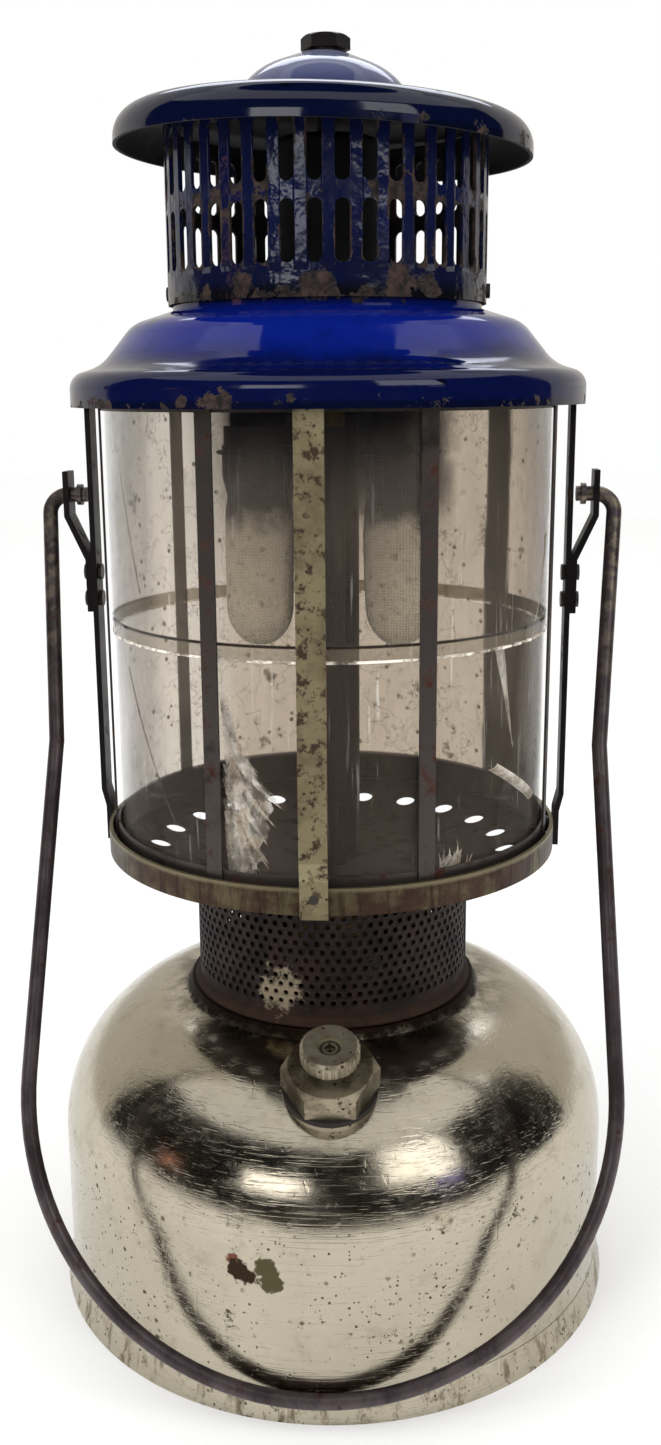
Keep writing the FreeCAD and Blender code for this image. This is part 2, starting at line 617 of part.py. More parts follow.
def dome_outline(body):
    """Half the fount: wall, shoulder arc, crown arc and the collar's seat."""
    sketch = new_sketch(body, "XZ_Plane")
    wall = value("tank_radius")
    shoulder = Vector(value("shoulder_centre"), value("shoulder_start"), 0)
    crown = Vector(0, value(CROWN_CENTRE), 0)
    lean = math.atan2(shoulder.y - crown.y, shoulder.x)
    step = value(f"{SEAT} - {CROWN_CENTRE} - seat_rise")
    rim = math.atan2(step, value("seat_radius"))
    foot = value("foot_height")
    seat = value(SEAT)
    shoulder_arc = Part.ArcOfCircle(
        Part.Circle(shoulder, Vector(0, 0, 1), value(SHOULDER_RADIUS)), 0, lean)
    crown_arc = Part.ArcOfCircle(
        Part.Circle(crown, Vector(0, 0, 1), value("crown_radius")), lean, rim)
    step_foot = Vector(value("seat_radius"), crown.y + step, 0)
    step_top = Vector(value("seat_radius - seat_rise / 2"), seat, 0)
    outline = [
        Part.LineSegment(Vector(0, foot, 0), Vector(wall, foot, 0)),
        Part.LineSegment(Vector(wall, foot, 0), Vector(wall, shoulder.y, 0)),
        shoulder_arc,
        crown_arc,
        Part.LineSegment(step_foot, step_top),
        Part.LineSegment(step_top, Vector(0, seat, 0)),
        Part.LineSegment(Vector(0, seat, 0), Vector(0, foot, 0)),
    ]
    for edge in outline:
        sketch.addGeometry(edge)
    for first, second in ((0, 1), (3, 4), (4, 5), (5, 6), (6, 0)):
        sketch.addConstraint(Sketcher.Constraint("Coincident", first, 2, second, 1))
    for first, second in ((1, 2), (2, 3)):
        sketch.addConstraint(Sketcher.Constraint("Tangent", first, 2, second, 1))
    pin_point(sketch, 0, 1, "0", "foot_height")
    pin_point(sketch, 1, 1, "tank_radius", "foot_height")
    pin_point(sketch, 1, 2, "tank_radius", "shoulder_start")
    pin_point(sketch, 4, 2, "seat_radius - seat_rise / 2", SEAT)
    pin_point(sketch, 5, 2, "0", SEAT)
    sketch.addConstraint(Sketcher.Constraint("PointOnObject", 3, 3, -2))
    for arc, size in ((2, SHOULDER_RADIUS), (3, "crown_radius")):
        number = sketch.addConstraint(Sketcher.Constraint("Radius", arc, value(size)))
        bind(sketch, f"Constraints[{number}]", size)
    number = sketch.addConstraint(
        Sketcher.Constraint("DistanceX", -1, 1, 4, 1, value("seat_radius")))
    bind(sketch, f"Constraints[{number}]", "seat_radius")
    return sketch


def fount_shell():
    """The drawn upper part of the fount, with its two holes."""
    body = new_piece("fount_shell")
    revolve(body, dome_outline(body))
    hollow(body, "tank_wall", "foot_height")
    cylinder(body, "Subtractive", "bushing_radius + running_fit", "4 * bushing_depth",
             z=f"{SEAT} - 2 * bushing_depth")
    hole = body.newObject("PartDesign::SubtractiveCylinder", "Filler_hole")
    bind(hole, "Radius", "boss_radius + running_fit")
    bind(hole, "Height", "4 * boss_depth")
    start = Placement(Vector(0, 0, value("-2 * boss_depth")), Rotation())
    hole.Placement = filler_placement().multiply(start)
    doc.recompute()


def fount_bottom():
    """The pressed bottom, folded at the table into the foot band."""
    pan_lean = "(pan_slope / pan_height)"
    band_lean = f"(({FOOT_RADIUS} - {SEAM_RADIUS}) / foot_height)"
    lathe(new_piece("fount_bottom"),
          ("0", "pan_height + foot_metal"),
          (f"tank_radius - {pan_lean} * (pan_height + foot_metal)", "pan_height + foot_metal"),
          (f"tank_radius - {pan_lean} * foot_metal", "foot_metal"),
          (f"{FOOT_RADIUS} - {band_lean} * foot_metal - foot_metal", "foot_metal"),
          (f"{SEAM_RADIUS} - foot_metal", "foot_height"),
          (SEAM_RADIUS, "foot_height"),
          (FOOT_RADIUS, "0"),
          (FOLD_RADIUS, "0"),
          (f"{FOLD_RADIUS} - pan_slope", "pan_height"),
          ("0", "pan_height"))


def tank_bushing():
    """The turned bushing that carries the valve in the fount's top."""
    lathe(new_piece("tank_bushing"),
          ("valve_shank + running_fit", f"{SEAT} - bushing_depth"),
          ("bushing_radius", f"{SEAT} - bushing_depth"),
          ("bushing_radius", SEAT),
          ("bushing_flange", SEAT),
          ("bushing_flange", f"{SEAT} + bushing_metal"),
          ("valve_shank + running_fit", f"{SEAT} + bushing_metal"))


def filler_pieces():
    """Boss, gasket, plug and air screw, all on the filler's own axis."""
    frame = filler_placement()
    boss = new_piece("filler_boss")
    lathe(boss,
          ("plug_radius + running_fit", "-boss_depth"), ("boss_radius", "-boss_depth"),
          ("boss_radius", "0"), ("flange_radius", "0"),
          ("flange_radius", "flange_height"), ("plug_radius + running_fit", "flange_height"))
    gasket = new_piece("filler_gasket")
    lathe(gasket,
          ("plug_radius + running_fit", GASKET_FOOT), ("flange_radius", GASKET_FOOT),
          ("flange_radius", PLUG_FOOT), ("plug_radius + running_fit", PLUG_FOOT))
    plug = new_piece("filler_plug")
    cylinder(plug, "Additive", "plug_radius", f"plug_depth + {GASKET_FOOT} + gasket_height",
             z="-plug_depth")
    hexagon(plug, "plug_flats", "plug_height", z=PLUG_FOOT)
    cylinder(plug, "Additive", "neck_radius", "plug_height + neck_height", z=PLUG_FOOT)
    chamfer_hexagon(plug, "plug_flats", f"{PLUG_FOOT} + plug_height")
    cylinder(plug, "Subtractive", "screw_radius + running_fit", "4 * plug_height",
             z="-plug_depth - cut_over")
    screw = new_piece("air_screw")
    knurled_knob(screw)
    for body in (boss, gasket, plug, screw):
        body.Placement = frame


def chamfer_hexagon(body, flats, top):
    """Turn off the upper corners of a hexagon, as on a bar-stock nut."""
    groove = body.newObject("PartDesign::Groove", "Turned_corners")
    groove.Profile = polygon(body, "XZ_Plane", [
        (f"{flats} / 2 - hex_margin", top),
        (flats, top),
        (flats, f"{top} - ({flats} / 2 + hex_margin) * tan(hex_bevel)"),
    ])
    groove.ReferenceAxis = (groove.Profile[0], ["V_Axis"])
    groove.Angle = 360
    doc.recompute()


def knurled_knob(body):
    """The air screw: stem, dished knob and the grooves round it."""
    top = f"{KNOB_FOOT} + knob_height"
    dish = f"{top} - knob_dish_depth"
    hole = f"{dish} - knob_hole_depth"
    lathe(body,
          ("0", f"{KNOB_FOOT} - screw_depth"), ("screw_radius", f"{KNOB_FOOT} - screw_depth"),
          ("screw_radius", KNOB_FOOT), ("knob_radius - edge_break", KNOB_FOOT),
          ("knob_radius", f"{KNOB_FOOT} + edge_break"), ("knob_radius", f"{top} - edge_break"),
          ("knob_radius - edge_break", top), ("knob_dish", top),
          ("knob_dish", dish), ("knob_hole", dish), ("knob_hole", hole), ("0", hole))
    groove = cylinder(body, "Subtractive", "knurl_radius", "2 * knob_height",
                      x="knob_radius + knurl_radius / 3", z=f"{KNOB_FOOT} - knob_height / 2")
    around(body, [groove], "knurl_count")


# Valve --------------------------------------------------------------------

def pickup():
    """The tube that reaches down into the fuel, and its strainer."""
    foot = "(pan_height + foot_metal + strainer_lift)"
    top = f"({foot} + strainer_height)"
    lathe(new_piece("pickup_strainer"),
          ("0", foot), ("strainer_radius", foot), ("strainer_radius", top), ("0", top))
    lathe(new_piece("pickup_tube"),
          ("pickup_radius - pickup_wall", top), ("pickup_radius", top),
          ("pickup_radius", VALVE_FOOT), ("pickup_radius - pickup_wall", VALVE_FOOT))


def valve_body():
    """The valve block, with its branch towards the back."""
    body = new_piece("valve_body")
    lathe(body,
          ("0", VALVE_FOOT), ("valve_shank", VALVE_FOOT),
          ("valve_shank", f"{SEAT} + bushing_metal"), ("valve_radius", f"{SEAT} + bushing_metal"),
          ("valve_radius", f"{VALVE_TOP} - valve_chamfer"),
          ("valve_radius - valve_chamfer", VALVE_TOP),
          ("0", VALVE_TOP))
    level = f"{SEAT} + valve_level"
    cylinder(body, "Additive", "branch_radius", "branch_length", z=level, turn=ALONG_Y)
    cylinder(body, "Subtractive", "stem_radius + running_fit", "branch_length",
             y="stem_start - stem_relief", z=level, turn=ALONG_Y)
    cylinder(body, "Subtractive", "pickup_radius - pickup_wall",
             f"{VALVE_TOP} - {VALVE_FOOT} - valve_roof", z=VALVE_FOOT)


def valve_controls():
    """Packing nut, stem and wheel, modelled about Z and laid along +Y."""
    packing = new_piece("packing_nut")
    hexagon(packing, "packing_flats", "packing_length", z="branch_length")
    cylinder(packing, "Subtractive", "stem_radius + running_fit", "3 * packing_length",
             z="branch_length - packing_length")
    stem = new_piece("valve_stem")
    cylinder(stem, "Additive", "stem_radius", "wheel_reach + wheel_length - stem_start",
             z="stem_start")
    soften(stem, "Chamfer", "stem_radius / 2", ("stem_radius", "stem_start"))
    wheel = new_piece("valve_wheel")
    back = "wheel_reach + wheel_hub"
    front = "wheel_reach + wheel_length"
    lathe(wheel,
          ("stem_radius + running_fit", "wheel_reach"), ("wheel_radius / 2", "wheel_reach"),
          ("wheel_radius / 2", back), ("wheel_radius - edge_break", back),
          ("wheel_radius", f"{back} + edge_break"), ("wheel_radius", f"{front} - edge_break"),
          ("wheel_radius - edge_break", front), ("stem_radius + running_fit", front))
    notch = cylinder(wheel, "Subtractive", "notch_radius", "2 * wheel_length",
                     x="notch_place", z="wheel_reach - wheel_length / 2")
    around(wheel, [notch], "wheel_notches")
    screw = new_piece("wheel_screw")
    head = f"{front} + wheel_screw_height"
    lathe(screw,
          ("0", front), ("wheel_screw", front), ("wheel_screw", f"{head} - edge_break"),
          ("wheel_screw - edge_break", head), ("0", head))
    for body in (packing, stem, wheel, screw):
        put(body, "0", "0", f"{SEAT} + valve_level", ALONG_Y)


# Collar, tray and guard ring ----------------------------------------------

def perforated_collar():
    """The sheet collar between fount and tray, lapped at one side."""
    body = new_piece("perforated_collar")
    inner = "collar_radius - collar_metal"
    lathe(body,
          (inner, SEAT), ("collar_radius + collar_lip", SEAT),
          ("collar_radius + collar_lip", f"{SEAT} + lip_height"),
          ("collar_radius", f"{SEAT} + 2 * lip_height"),
          ("collar_radius", COLLAR_TOP), (inner, COLLAR_TOP))
    lap = body.newObject("PartDesign::Revolution", "Lap")
    lap.Profile = polygon(body, "XZ_Plane", [
        ("collar_radius - collar_metal / 2", f"{SEAT} + 2 * lip_height"),
        ("collar_radius + collar_metal", f"{SEAT} + 2 * lip_height"),
        ("collar_radius + collar_metal", COLLAR_TOP),
        ("collar_radius - collar_metal / 2", COLLAR_TOP)])
    lap.ReferenceAxis = (lap.Profile[0], ["V_Axis"])
    bind(lap, "Angle", "seam_angle")
    doc.recompute()
    cylinder(body, "Subtractive", "stem_hole", "collar_radius",
             y="collar_radius / 2", z=f"{SEAT} + valve_level", turn=ALONG_Y)


def burner_tray():
    """The dished floor of the globe, with its ring of air holes."""
    body = new_piece("burner_tray")
    lathe(body,
          ("0", COLLAR_TOP), ("collar_radius", COLLAR_TOP),
          (TRAY_RADIUS, TRAY_RIM),
          (TRAY_RADIUS, f"{TRAY_RIM} + tray_metal"),
          ("collar_radius", f"{COLLAR_TOP} + tray_metal"),
          ("0", f"{COLLAR_TOP} + tray_metal"))
    vent = cylinder(body, "Subtractive", "vent_radius", "2 * tray_rise",
                    x="vent_circle", z=f"{COLLAR_TOP} - tray_rise / 2")
    around(body, [vent], "vent_count")
    cylinder(body, "Subtractive", "air_tube_radius + tube_fit", "4 * tray_metal",
             y="air_tube_back", z=f"{COLLAR_TOP} - tray_metal")
    cylinder(body, "Subtractive", "generator_radius + tube_fit", "4 * tray_metal",
             y="-generator_front", z=f"{COLLAR_TOP} - tray_metal")


def guard_ring():
    """The band round the tray, drilled for the uprights' rivets."""
    body = new_piece("guard_ring")
    lathe(body,
          (RING_INNER, TRAY_RIM), ("ring_radius", TRAY_RIM),
          ("ring_radius", f"{TRAY_RIM} + ring_height"),
          (RING_INNER, f"{TRAY_RIM} + ring_height"))
    hole = cylinder(body, "Subtractive", "rivet_radius + running_fit", "3 * ring_metal",
                    x=f"{RING_INNER} - ring_metal", z=f"{TRAY_RIM} + rivet_level", turn=ALONG_X)
    around(body, [hole], POSTS)


def ring_rivets():
    """Four rivets, their heads inside the ring, flush with the uprights."""
    body = new_piece("ring_rivets")
    level = f"{TRAY_RIM} + rivet_level"
    start = f"(sqrt({RING_INNER}^2 - rivet_head^2) - head_height)"
    shank = cylinder(body, "Additive", "rivet_radius", f"ring_radius + post_metal - {start}",
                     x=start, z=level, turn=ALONG_X)
    head = cylinder(body, "Additive", "rivet_head", "head_height",
                    x=start, z=level, turn=ALONG_X)
    around(body, [shank, head], POSTS)


# Uprights, ears and bail --------------------------------------------------

def upright(label, turn, with_ear):
    """One strip from the guard ring up to the hood, stepped and tabbed."""
    body = new_piece(label)
    top = f"{HOOD_RIM} + skirt_height - post_drop"
    step = f"{TRAY_RIM} + post_foot"
    extrude(body, "XZ_Plane", [
        ("ring_radius", f"{TRAY_RIM} - post_foot_drop"),
        ("ring_radius + post_metal", f"{TRAY_RIM} - post_foot_drop"),
        ("ring_radius + post_metal", step),
        (POST_OUTER, f"{step} + post_step"),
        (POST_OUTER, top),
        (f"{POST_OUTER} - post_tab - post_metal", top),
        (f"{POST_OUTER} - post_tab - post_metal", f"{top} - post_metal"),
        (POST_INNER, f"{top} - post_metal"),
        (POST_INNER, f"{step} + post_step"),
        ("ring_radius", step),
    ], "post_width")
    cylinder(body, "Subtractive", "rivet_radius + running_fit", "3 * post_metal",
             x="ring_radius - post_metal", z=f"{TRAY_RIM} + rivet_level", turn=ALONG_X)
    if with_ear:
        for level in ("ear_rivet_low", "ear_rivet_high"):
            cylinder(body, "Subtractive", "rivet_radius + running_fit", "3 * post_metal",
                     x=f"{POST_INNER} - post_metal", z=f"{PIVOT} - ear_foot + {level}",
                     turn=ALONG_X)
    body.Placement = Placement(Vector(), Rotation(Vector(0, 0, 1), turn))


def bail_ear(label, turn):
    """A bent strip, riveted to an upright, with the hole for the bail."""
    body = new_piece(label)
    extrude(body, "XZ_Plane", [
        (POST_OUTER, f"{PIVOT} - ear_foot"),
        (f"{POST_OUTER} + ear_metal", f"{PIVOT} - ear_foot"),
        (f"{POST_OUTER} + ear_metal", f"{PIVOT} - ear_bend - ear_metal / 4"),
        ("ear_reach + ear_metal", f"{PIVOT} - ear_turn - ear_metal / 4"),
        ("ear_reach + ear_metal", f"{PIVOT} + ear_top"),
        ("ear_reach", f"{PIVOT} + ear_top"),
        ("ear_reach", f"{PIVOT} - ear_turn"),
        (POST_OUTER, f"{PIVOT} - ear_bend"),
    ], "ear_width")
    cylinder(body, "Subtractive", "wire_radius + pivot_clearance", "3 * ear_metal",
             x="ear_reach - ear_metal", z=PIVOT, turn=ALONG_X)
    for level in ("ear_rivet_low", "ear_rivet_high"):
        cylinder(body, "Subtractive", "rivet_radius + running_fit", "3 * ear_metal",
                 x=f"{POST_OUTER} - ear_metal", z=f"{PIVOT} - ear_foot + {level}", turn=ALONG_X)
    body.Placement = Placement(Vector(), Rotation(Vector(0, 0, 1), turn))


def ear_rivets():
    """Two rivets through each ear and its upright, headed on both sides."""
    body = new_piece("ear_rivets")
    length = "(post_metal + ear_metal)"
    for level in ("ear_rivet_low", "ear_rivet_high"):
        height = f"{PIVOT} - ear_foot + {level}"
        on_both_sides(body, "Additive", "rivet_radius", length, POST_INNER, height)
        on_both_sides(body, "Additive", "rivet_head", "head_height",
                      f"{POST_INNER} - head_height", height)
        on_both_sides(body, "Additive", "rivet_head", "head_height",
                      f"{POST_INNER} + {length}", height)


def bail_path(body):
    """The bail's centre line in its own plane: legs with a waist, then a loop."""
    sketch = new_sketch(body, "XZ_Plane")
    bend = value("bail_bend")
    shoulder = value("bail_shoulder")
    loop = value(LOOP_RADIUS)
    waist = Vector(value("bail_waist"), -value("waist_drop"), 0)
    bend_centre = Vector(shoulder - bend, -bend, 0)
    loop_centre = Vector(0, -value(LOOP_DROP), 0)
    leg_start = tangent_point(waist, bend_centre, bend, 1)
    leg_end = tangent_point(waist, loop_centre, loop, -1)

    def arc(centre, radius, start, end):
        first = math.atan2(start.y - centre.y, start.x - centre.x)
        last = math.atan2(end.y - centre.y, end.x - centre.x)
        return Part.ArcOfCircle(Part.Circle(centre, Vector(0, 0, 1), radius), first, last)

    def mirrored(point):
        return Vector(-point.x, point.y, 0)

    tip = Vector(value("bail_tip"), 0, 0)
    stub_end = Vector(bend_centre.x, 0, 0)
    right = [
        Part.LineSegment(tip, stub_end),
        arc(bend_centre, bend, leg_start, stub_end),
        Part.LineSegment(leg_start, waist),
        Part.LineSegment(waist, leg_end),
    ]
    left = [
        Part.LineSegment(mirrored(leg_end), mirrored(waist)),
        Part.LineSegment(mirrored(waist), mirrored(leg_start)),
        arc(mirrored(bend_centre), bend, mirrored(stub_end), mirrored(leg_start)),
        Part.LineSegment(mirrored(stub_end), mirrored(tip)),
    ]
    bottom = arc(loop_centre, loop, mirrored(leg_end), leg_end)
    for edge in right + [bottom] + left:
        sketch.addGeometry(edge)
    joints = [(0, 2, 1, 2), (1, 1, 2, 1), (3, 2, 4, 2), (4, 1, 5, 1), (6, 2, 7, 2), (7, 1, 8, 1)]
    for first, end, second, start in joints:
        sketch.addConstraint(Sketcher.Constraint("Tangent", first, end, second, start))
    for first, second in ((2, 3), (5, 6)):
        sketch.addConstraint(Sketcher.Constraint("Coincident", first, 2, second, 1))
    pin_point(sketch, 0, 1, "bail_tip", "0")
    pin_point(sketch, 0, 2, "bail_shoulder - bail_bend", "0")
    pin_point(sketch, 3, 1, "bail_waist", "-waist_drop")
    pin_point(sketch, 8, 2, "-bail_tip", "0")
    pin_point(sketch, 8, 1, "bail_bend - bail_shoulder", "0")
    pin_point(sketch, 6, 1, "-bail_waist", "-waist_drop")
    pin_point(sketch, 4, 3, "0", f"-{LOOP_DROP}")
    for edge, size in ((1, "bail_bend"), (7, "bail_bend"), (4, LOOP_RADIUS)):
        number = sketch.addConstraint(Sketcher.Constraint("Radius", edge, value(size)))
        bind(sketch, f"Constraints[{number}]", size)
    return sketch


def tangent_point(point, centre, radius, side):
    """Where a line from a point touches a circle, on one side of it."""
    reach = centre.sub(point)
    turn = math.asin(radius / reach.Length) * side
    length = math.sqrt(reach.Length ** 2 - radius ** 2)
    heading = math.atan2(reach.y, reach.x) + turn * -1
    return point.add(Vector(math.cos(heading), math.sin(heading), 0).multiply(length))


def bail():
    """The wire handle, leaning forward on the foot of the fount."""
    body = new_piece("bail")
    path = bail_path(body)
    section = new_sketch(body, "YZ_Plane")
    bind(section, "AttachmentOffset.Base.z", "bail_tip")
    section.addGeometry(Part.Circle(Vector(), Vector(0, 0, 1), value("wire_radius")))
    section.addConstraint(Sketcher.Constraint("Coincident", 0, 3, -1, 1))
    section.addConstraint(Sketcher.Constraint("Radius", 0, value("wire_radius")))
    bind(section, "Constraints[1]", "wire_radius")
    doc.recompute()
    pipe = body.newObject("PartDesign::AdditivePipe", "Wire")
    pipe.Profile = section
    pipe.Spine = (path, [f"Edge{number}" for number in range(1, 10)])
    pipe.Transition = "Right corner"
    doc.recompute()
    on_both_sides(body, "Additive", "bail_head", "bail_head_length",
                  "bail_tip + bail_head_length", "0")
    lean = math.degrees(math.asin(value(BAIL_REACH) / value(BAIL_LENGTH)))
    put(body, "0", "0", PIVOT, Rotation(Vector(1, 0, 0), -lean))


# Globe --------------------------------------------------------------------

def globe_cage():
    """Two bands with inward ledges, and the strips that join them."""
    top = f"{GLOBE_FOOT} + globe_height"
    ledge = f"{BAND_INNER} - band_ledge"
    lathe(new_piece("globe_foot_band"),
          (ledge, GLOBE_FOOT), (BAND_RADIUS, GLOBE_FOOT),
          (BAND_RADIUS, f"{GLOBE_FOOT} + band_height"),
          (BAND_INNER, f"{GLOBE_FOOT} + band_height"),
          (BAND_INNER, f"{GLOBE_FOOT} + band_metal"), (ledge, f"{GLOBE_FOOT} + band_metal"))
    lathe(new_piece("globe_top_band"),
          (BAND_INNER, f"{top} - top_band"), (BAND_RADIUS, f"{top} - top_band"),
          (BAND_RADIUS, top), (ledge, top),
          (ledge, f"{top} - band_metal"), (BAND_INNER, f"{top} - band_metal"))
    strips = new_piece("globe_strips")
    strip = strips.newObject("PartDesign::AdditiveBox", "Strip")
    bind(strip, "Length", "band_metal")
    bind(strip, "Width", "strip_width")
    bind(strip, "Height", "globe_height - 2 * strip_inset")
    put(strip, BAND_RADIUS, "-strip_width / 2", f"{GLOBE_FOOT} + strip_inset")
    doc.recompute()
    around(strips, [strip], "strip_count")
    strips.Placement = Placement(Vector(), Rotation(Vector(0, 0, 1), value("strip_turn - 90")))


def mica_sheets():
    """Two rolled sheets, the lower one lapping inside the upper."""
    low = f"{GLOBE_FOOT} + band_metal + mica_gap"
    high = f"{GLOBE_FOOT} + globe_height - band_metal - mica_gap"
    lap = f"{GLOBE_FOOT} + mica_joint"
    outer = f"({BAND_INNER} - mica_gap)"
    inner = f"({outer} - mica_sheet - mica_gap)"
    lathe(new_piece("lower_mica"),
          (f"{inner} - mica_sheet", low), (inner, low),
          (inner, f"{lap} + mica_lap"), (f"{inner} - mica_sheet", f"{lap} + mica_lap"))
    lathe(new_piece("upper_mica"),
          (f"{outer} - mica_sheet", lap), (outer, lap),
          (outer, high), (f"{outer} - mica_sheet", high))


# Burner -------------------------------------------------------------------

def generator():
    """Nut, tube and gas tip in front of the air tube."""
    tube_top = f"{MANIFOLD} - hub_half - tip_height"
    front = "-generator_front"
    nut = new_piece("generator_nut")
    hexagon(nut, "generator_flats", "generator_nut")
    cylinder(nut, "Subtractive", "generator_radius + running_fit", "3 * generator_nut",
             z="-generator_nut")
    put(nut, "0", front, VALVE_TOP)
    tube = new_piece("generator_tube")
    lathe(tube,
          ("generator_radius - generator_wall", "0"), ("generator_radius", "0"),
          ("generator_radius", f"{tube_top} - {VALVE_TOP}"),
          ("generator_radius - generator_wall", f"{tube_top} - {VALVE_TOP}"))
    put(tube, "0", front, VALVE_TOP)
    tip = new_piece("gas_tip")
    lathe(tip,
          ("tip_hole", "0"), ("generator_radius", "0"),
          ("generator_radius", "tip_height / 2"), ("tip_radius", "tip_height / 2"),
          ("tip_radius", "tip_height"), ("tip_hole", "tip_height"))
    put(tip, "0", front, tube_top)


def air_tube():
    """The tube that brings air from the collar up to the manifold."""
    body = new_piece("air_tube")
    inner = "air_tube_radius - air_tube_wall"
    length = f"{MANIFOLD} - hub_half / 2 - {AIR_TUBE_FOOT}"
    lathe(body,
          (inner, "0"), ("air_tube_radius", "0"), ("air_tube_radius", length), (inner, length))
    put(body, "0", "air_tube_back", AIR_TUBE_FOOT)


def burner_manifold():
    """Cast cross piece: a hub, two arms and two necks that point down."""
    body = new_piece("burner_manifold")
    cylinder(body, "Additive", "hub_radius", "2 * hub_half", y="air_tube_back / 4",
             z=f"{MANIFOLD} - hub_half")
    cylinder(body, "Additive", "manifold_radius", "2 * burner_spread", x="-burner_spread",
             z=MANIFOLD, turn=ALONG_X)
    for side in ("-", ""):
        place = f"{side}burner_spread"
        elbow = body.newObject("PartDesign::AdditiveSphere", "Elbow")
        bind(elbow, "Radius", "manifold_radius")
        put(elbow, place, "0", MANIFOLD)
        doc.recompute()
        cylinder(body, "Additive", "manifold_radius", "neck_drop", x=place,
                 z=f"{MANIFOLD} - neck_drop")
        cylinder(body, "Subtractive", "neck_bore", "neck_drop", x=place,
                 z=f"{MANIFOLD} - neck_drop - cut_over")
    cylinder(body, "Subtractive", "air_tube_radius + running_fit", "hub_half",
             y="air_tube_back", z=f"{MANIFOLD} - 3 * hub_half / 2")


def burner_caps():
    """Two grooved caps with drilled screens, one over each mantle."""
    wall = "cap_burner_radius - cap_burner_wall"
    groove = "cap_burner_radius - tie_groove"
    inner = f"{wall} - tie_groove"
    for label, side in (("burner_cap_left", "-"), ("burner_cap_right", "")):
        body = new_piece(label)
        lathe(body,
              ("0", "0"), ("cap_burner_radius", "0"),
              ("cap_burner_radius", "tie_level - tie_width / 2"),
              (groove, "tie_level - tie_width / 2"), (groove, "tie_level + tie_width / 2"),
              ("cap_burner_radius", "tie_level + tie_width / 2"),
              ("cap_burner_radius", "cap_burner_height"), ("neck_bore", "cap_burner_height"),
              ("neck_bore", "cap_burner_height - cap_burner_roof"),
              (inner, "cap_burner_height - 2 * cap_burner_roof"),
              (inner, "cap_burner_wall"), ("0", "cap_burner_wall"))
        hole = cylinder(body, "Subtractive", "screen_hole", "4 * cap_burner_wall",
                        x="screen_circle", z="-cap_burner_wall")
        around(body, [hole], "screen_count")
        put(body, f"{side}burner_spread", "0", BURNER_FOOT)


def mantles():
    """Two soft socks hung from the burner caps, and their ties."""
    inner = "mantle_radius - mantle_sheet"
    for label, side in (("mantle_left", "-"), ("mantle_right", "")):
        body = new_piece(label)
        lathe(body,
              ("0", "-mantle_drop"), ("mantle_radius", "-mantle_drop"),
              ("mantle_radius", "mantle_collar"), (inner, "mantle_collar"),
              (inner, "-seat_gap"), ("0", "-seat_gap"))
        soften(body, "Fillet", "mantle_round", ("mantle_radius", "-mantle_drop"))
        put(body, f"{side}burner_spread", "0", BURNER_FOOT)
    for label, side in (("mantle_tie_left", "-"), ("mantle_tie_right", "")):
        tie = new_piece(label)
        ring = tie.newObject("PartDesign::AdditiveTorus", "Thread")
        bind(ring, "Radius1", "mantle_radius + seat_gap + tie_thread")
        bind(ring, "Radius2", "tie_thread")
        doc.recompute()
        put(tie, f"{side}burner_spread", "0", f"{BURNER_FOOT} + tie_level")


def mixing_chamber():
    """The closed can over the manifold, and the stud that stands on it."""
    body = new_piece("mixing_chamber")
    lathe(body, ("0", HUB_TOP), ("mixer_radius", HUB_TOP), ("mixer_radius", MIXER_TOP),
          ("0", MIXER_TOP))
    soften(body, "Fillet", "2 * mixer_wall", ("mixer_radius", MIXER_TOP))
    hollow(body, "mixer_wall", HUB_TOP)
    lathe(new_piece("centre_stud"),
          ("0", MIXER_TOP), ("stud_radius", MIXER_TOP),
          ("stud_radius", f"{NUT_FOOT} + nut_height - nut_cover - seat_gap"),
          ("0", f"{NUT_FOOT} + nut_height - nut_cover - seat_gap"))


# Hood, ventilator and cap -------------------------------------------------

def hood():
    """The enamelled hood: skirt, hollow ledge, crest and throat."""
    body = new_piece("hood")
    top = f"{HOOD_RIM} + throat_height + throat_length"
    revolve(body, rounded_sheet(body, "hood_metal", [
        (HOOD_RADIUS, HOOD_RIM),
        (HOOD_RADIUS, f"{HOOD_RIM} + skirt_height", "shoulder_round"),
        (f"{HOOD_RADIUS} - ledge_width", f"{HOOD_RIM} + ledge_height", "valley_round"),
        ("crest_radius", f"{HOOD_RIM} + crest_height", "crest_round"),
        (THROAT, f"{HOOD_RIM} + throat_height"),
        (THROAT, top),
    ]))
    drum_rivet_holes(body)
    bead = body.newObject("PartDesign::AdditiveTorus", "Bead")
    bind(bead, "Radius1", f"{HOOD_RADIUS} - hood_metal / 2")
    bind(bead, "Radius2", "rim_bead")
    put(bead, "0", "0", f"{HOOD_RIM} + rim_bead / 2")
    doc.recompute()


def drum_rivet_holes(body):
    """Two holes on the X axis for the rivets between drum and hood."""
    on_both_sides(body, "Subtractive", "drum_rivet + running_fit", "8 * drum_metal",
                  "drum_radius - 5 * drum_metal", f"{DRUM_FOOT} + drum_rivet_level")


def slot_tool(foot):
    """A round-ended cutter that stands across the drum's wall at +X."""
    wide = value("slot_width")
    tall = value("slot_height")
    near = value("drum_radius - 4 * drum_metal")
    deep = value("8 * drum_metal")
    low = value(foot) + wide / 2
    high = low + tall - wide
    cutter = Part.makeBox(deep, wide, high - low, Vector(near, -wide / 2, low))
    ends = [Part.makeCylinder(wide / 2, deep, Vector(near, 0, level), Vector(1, 0, 0))
            for level in (low, high)]
    return cutter.fuse(ends).removeSplitter()


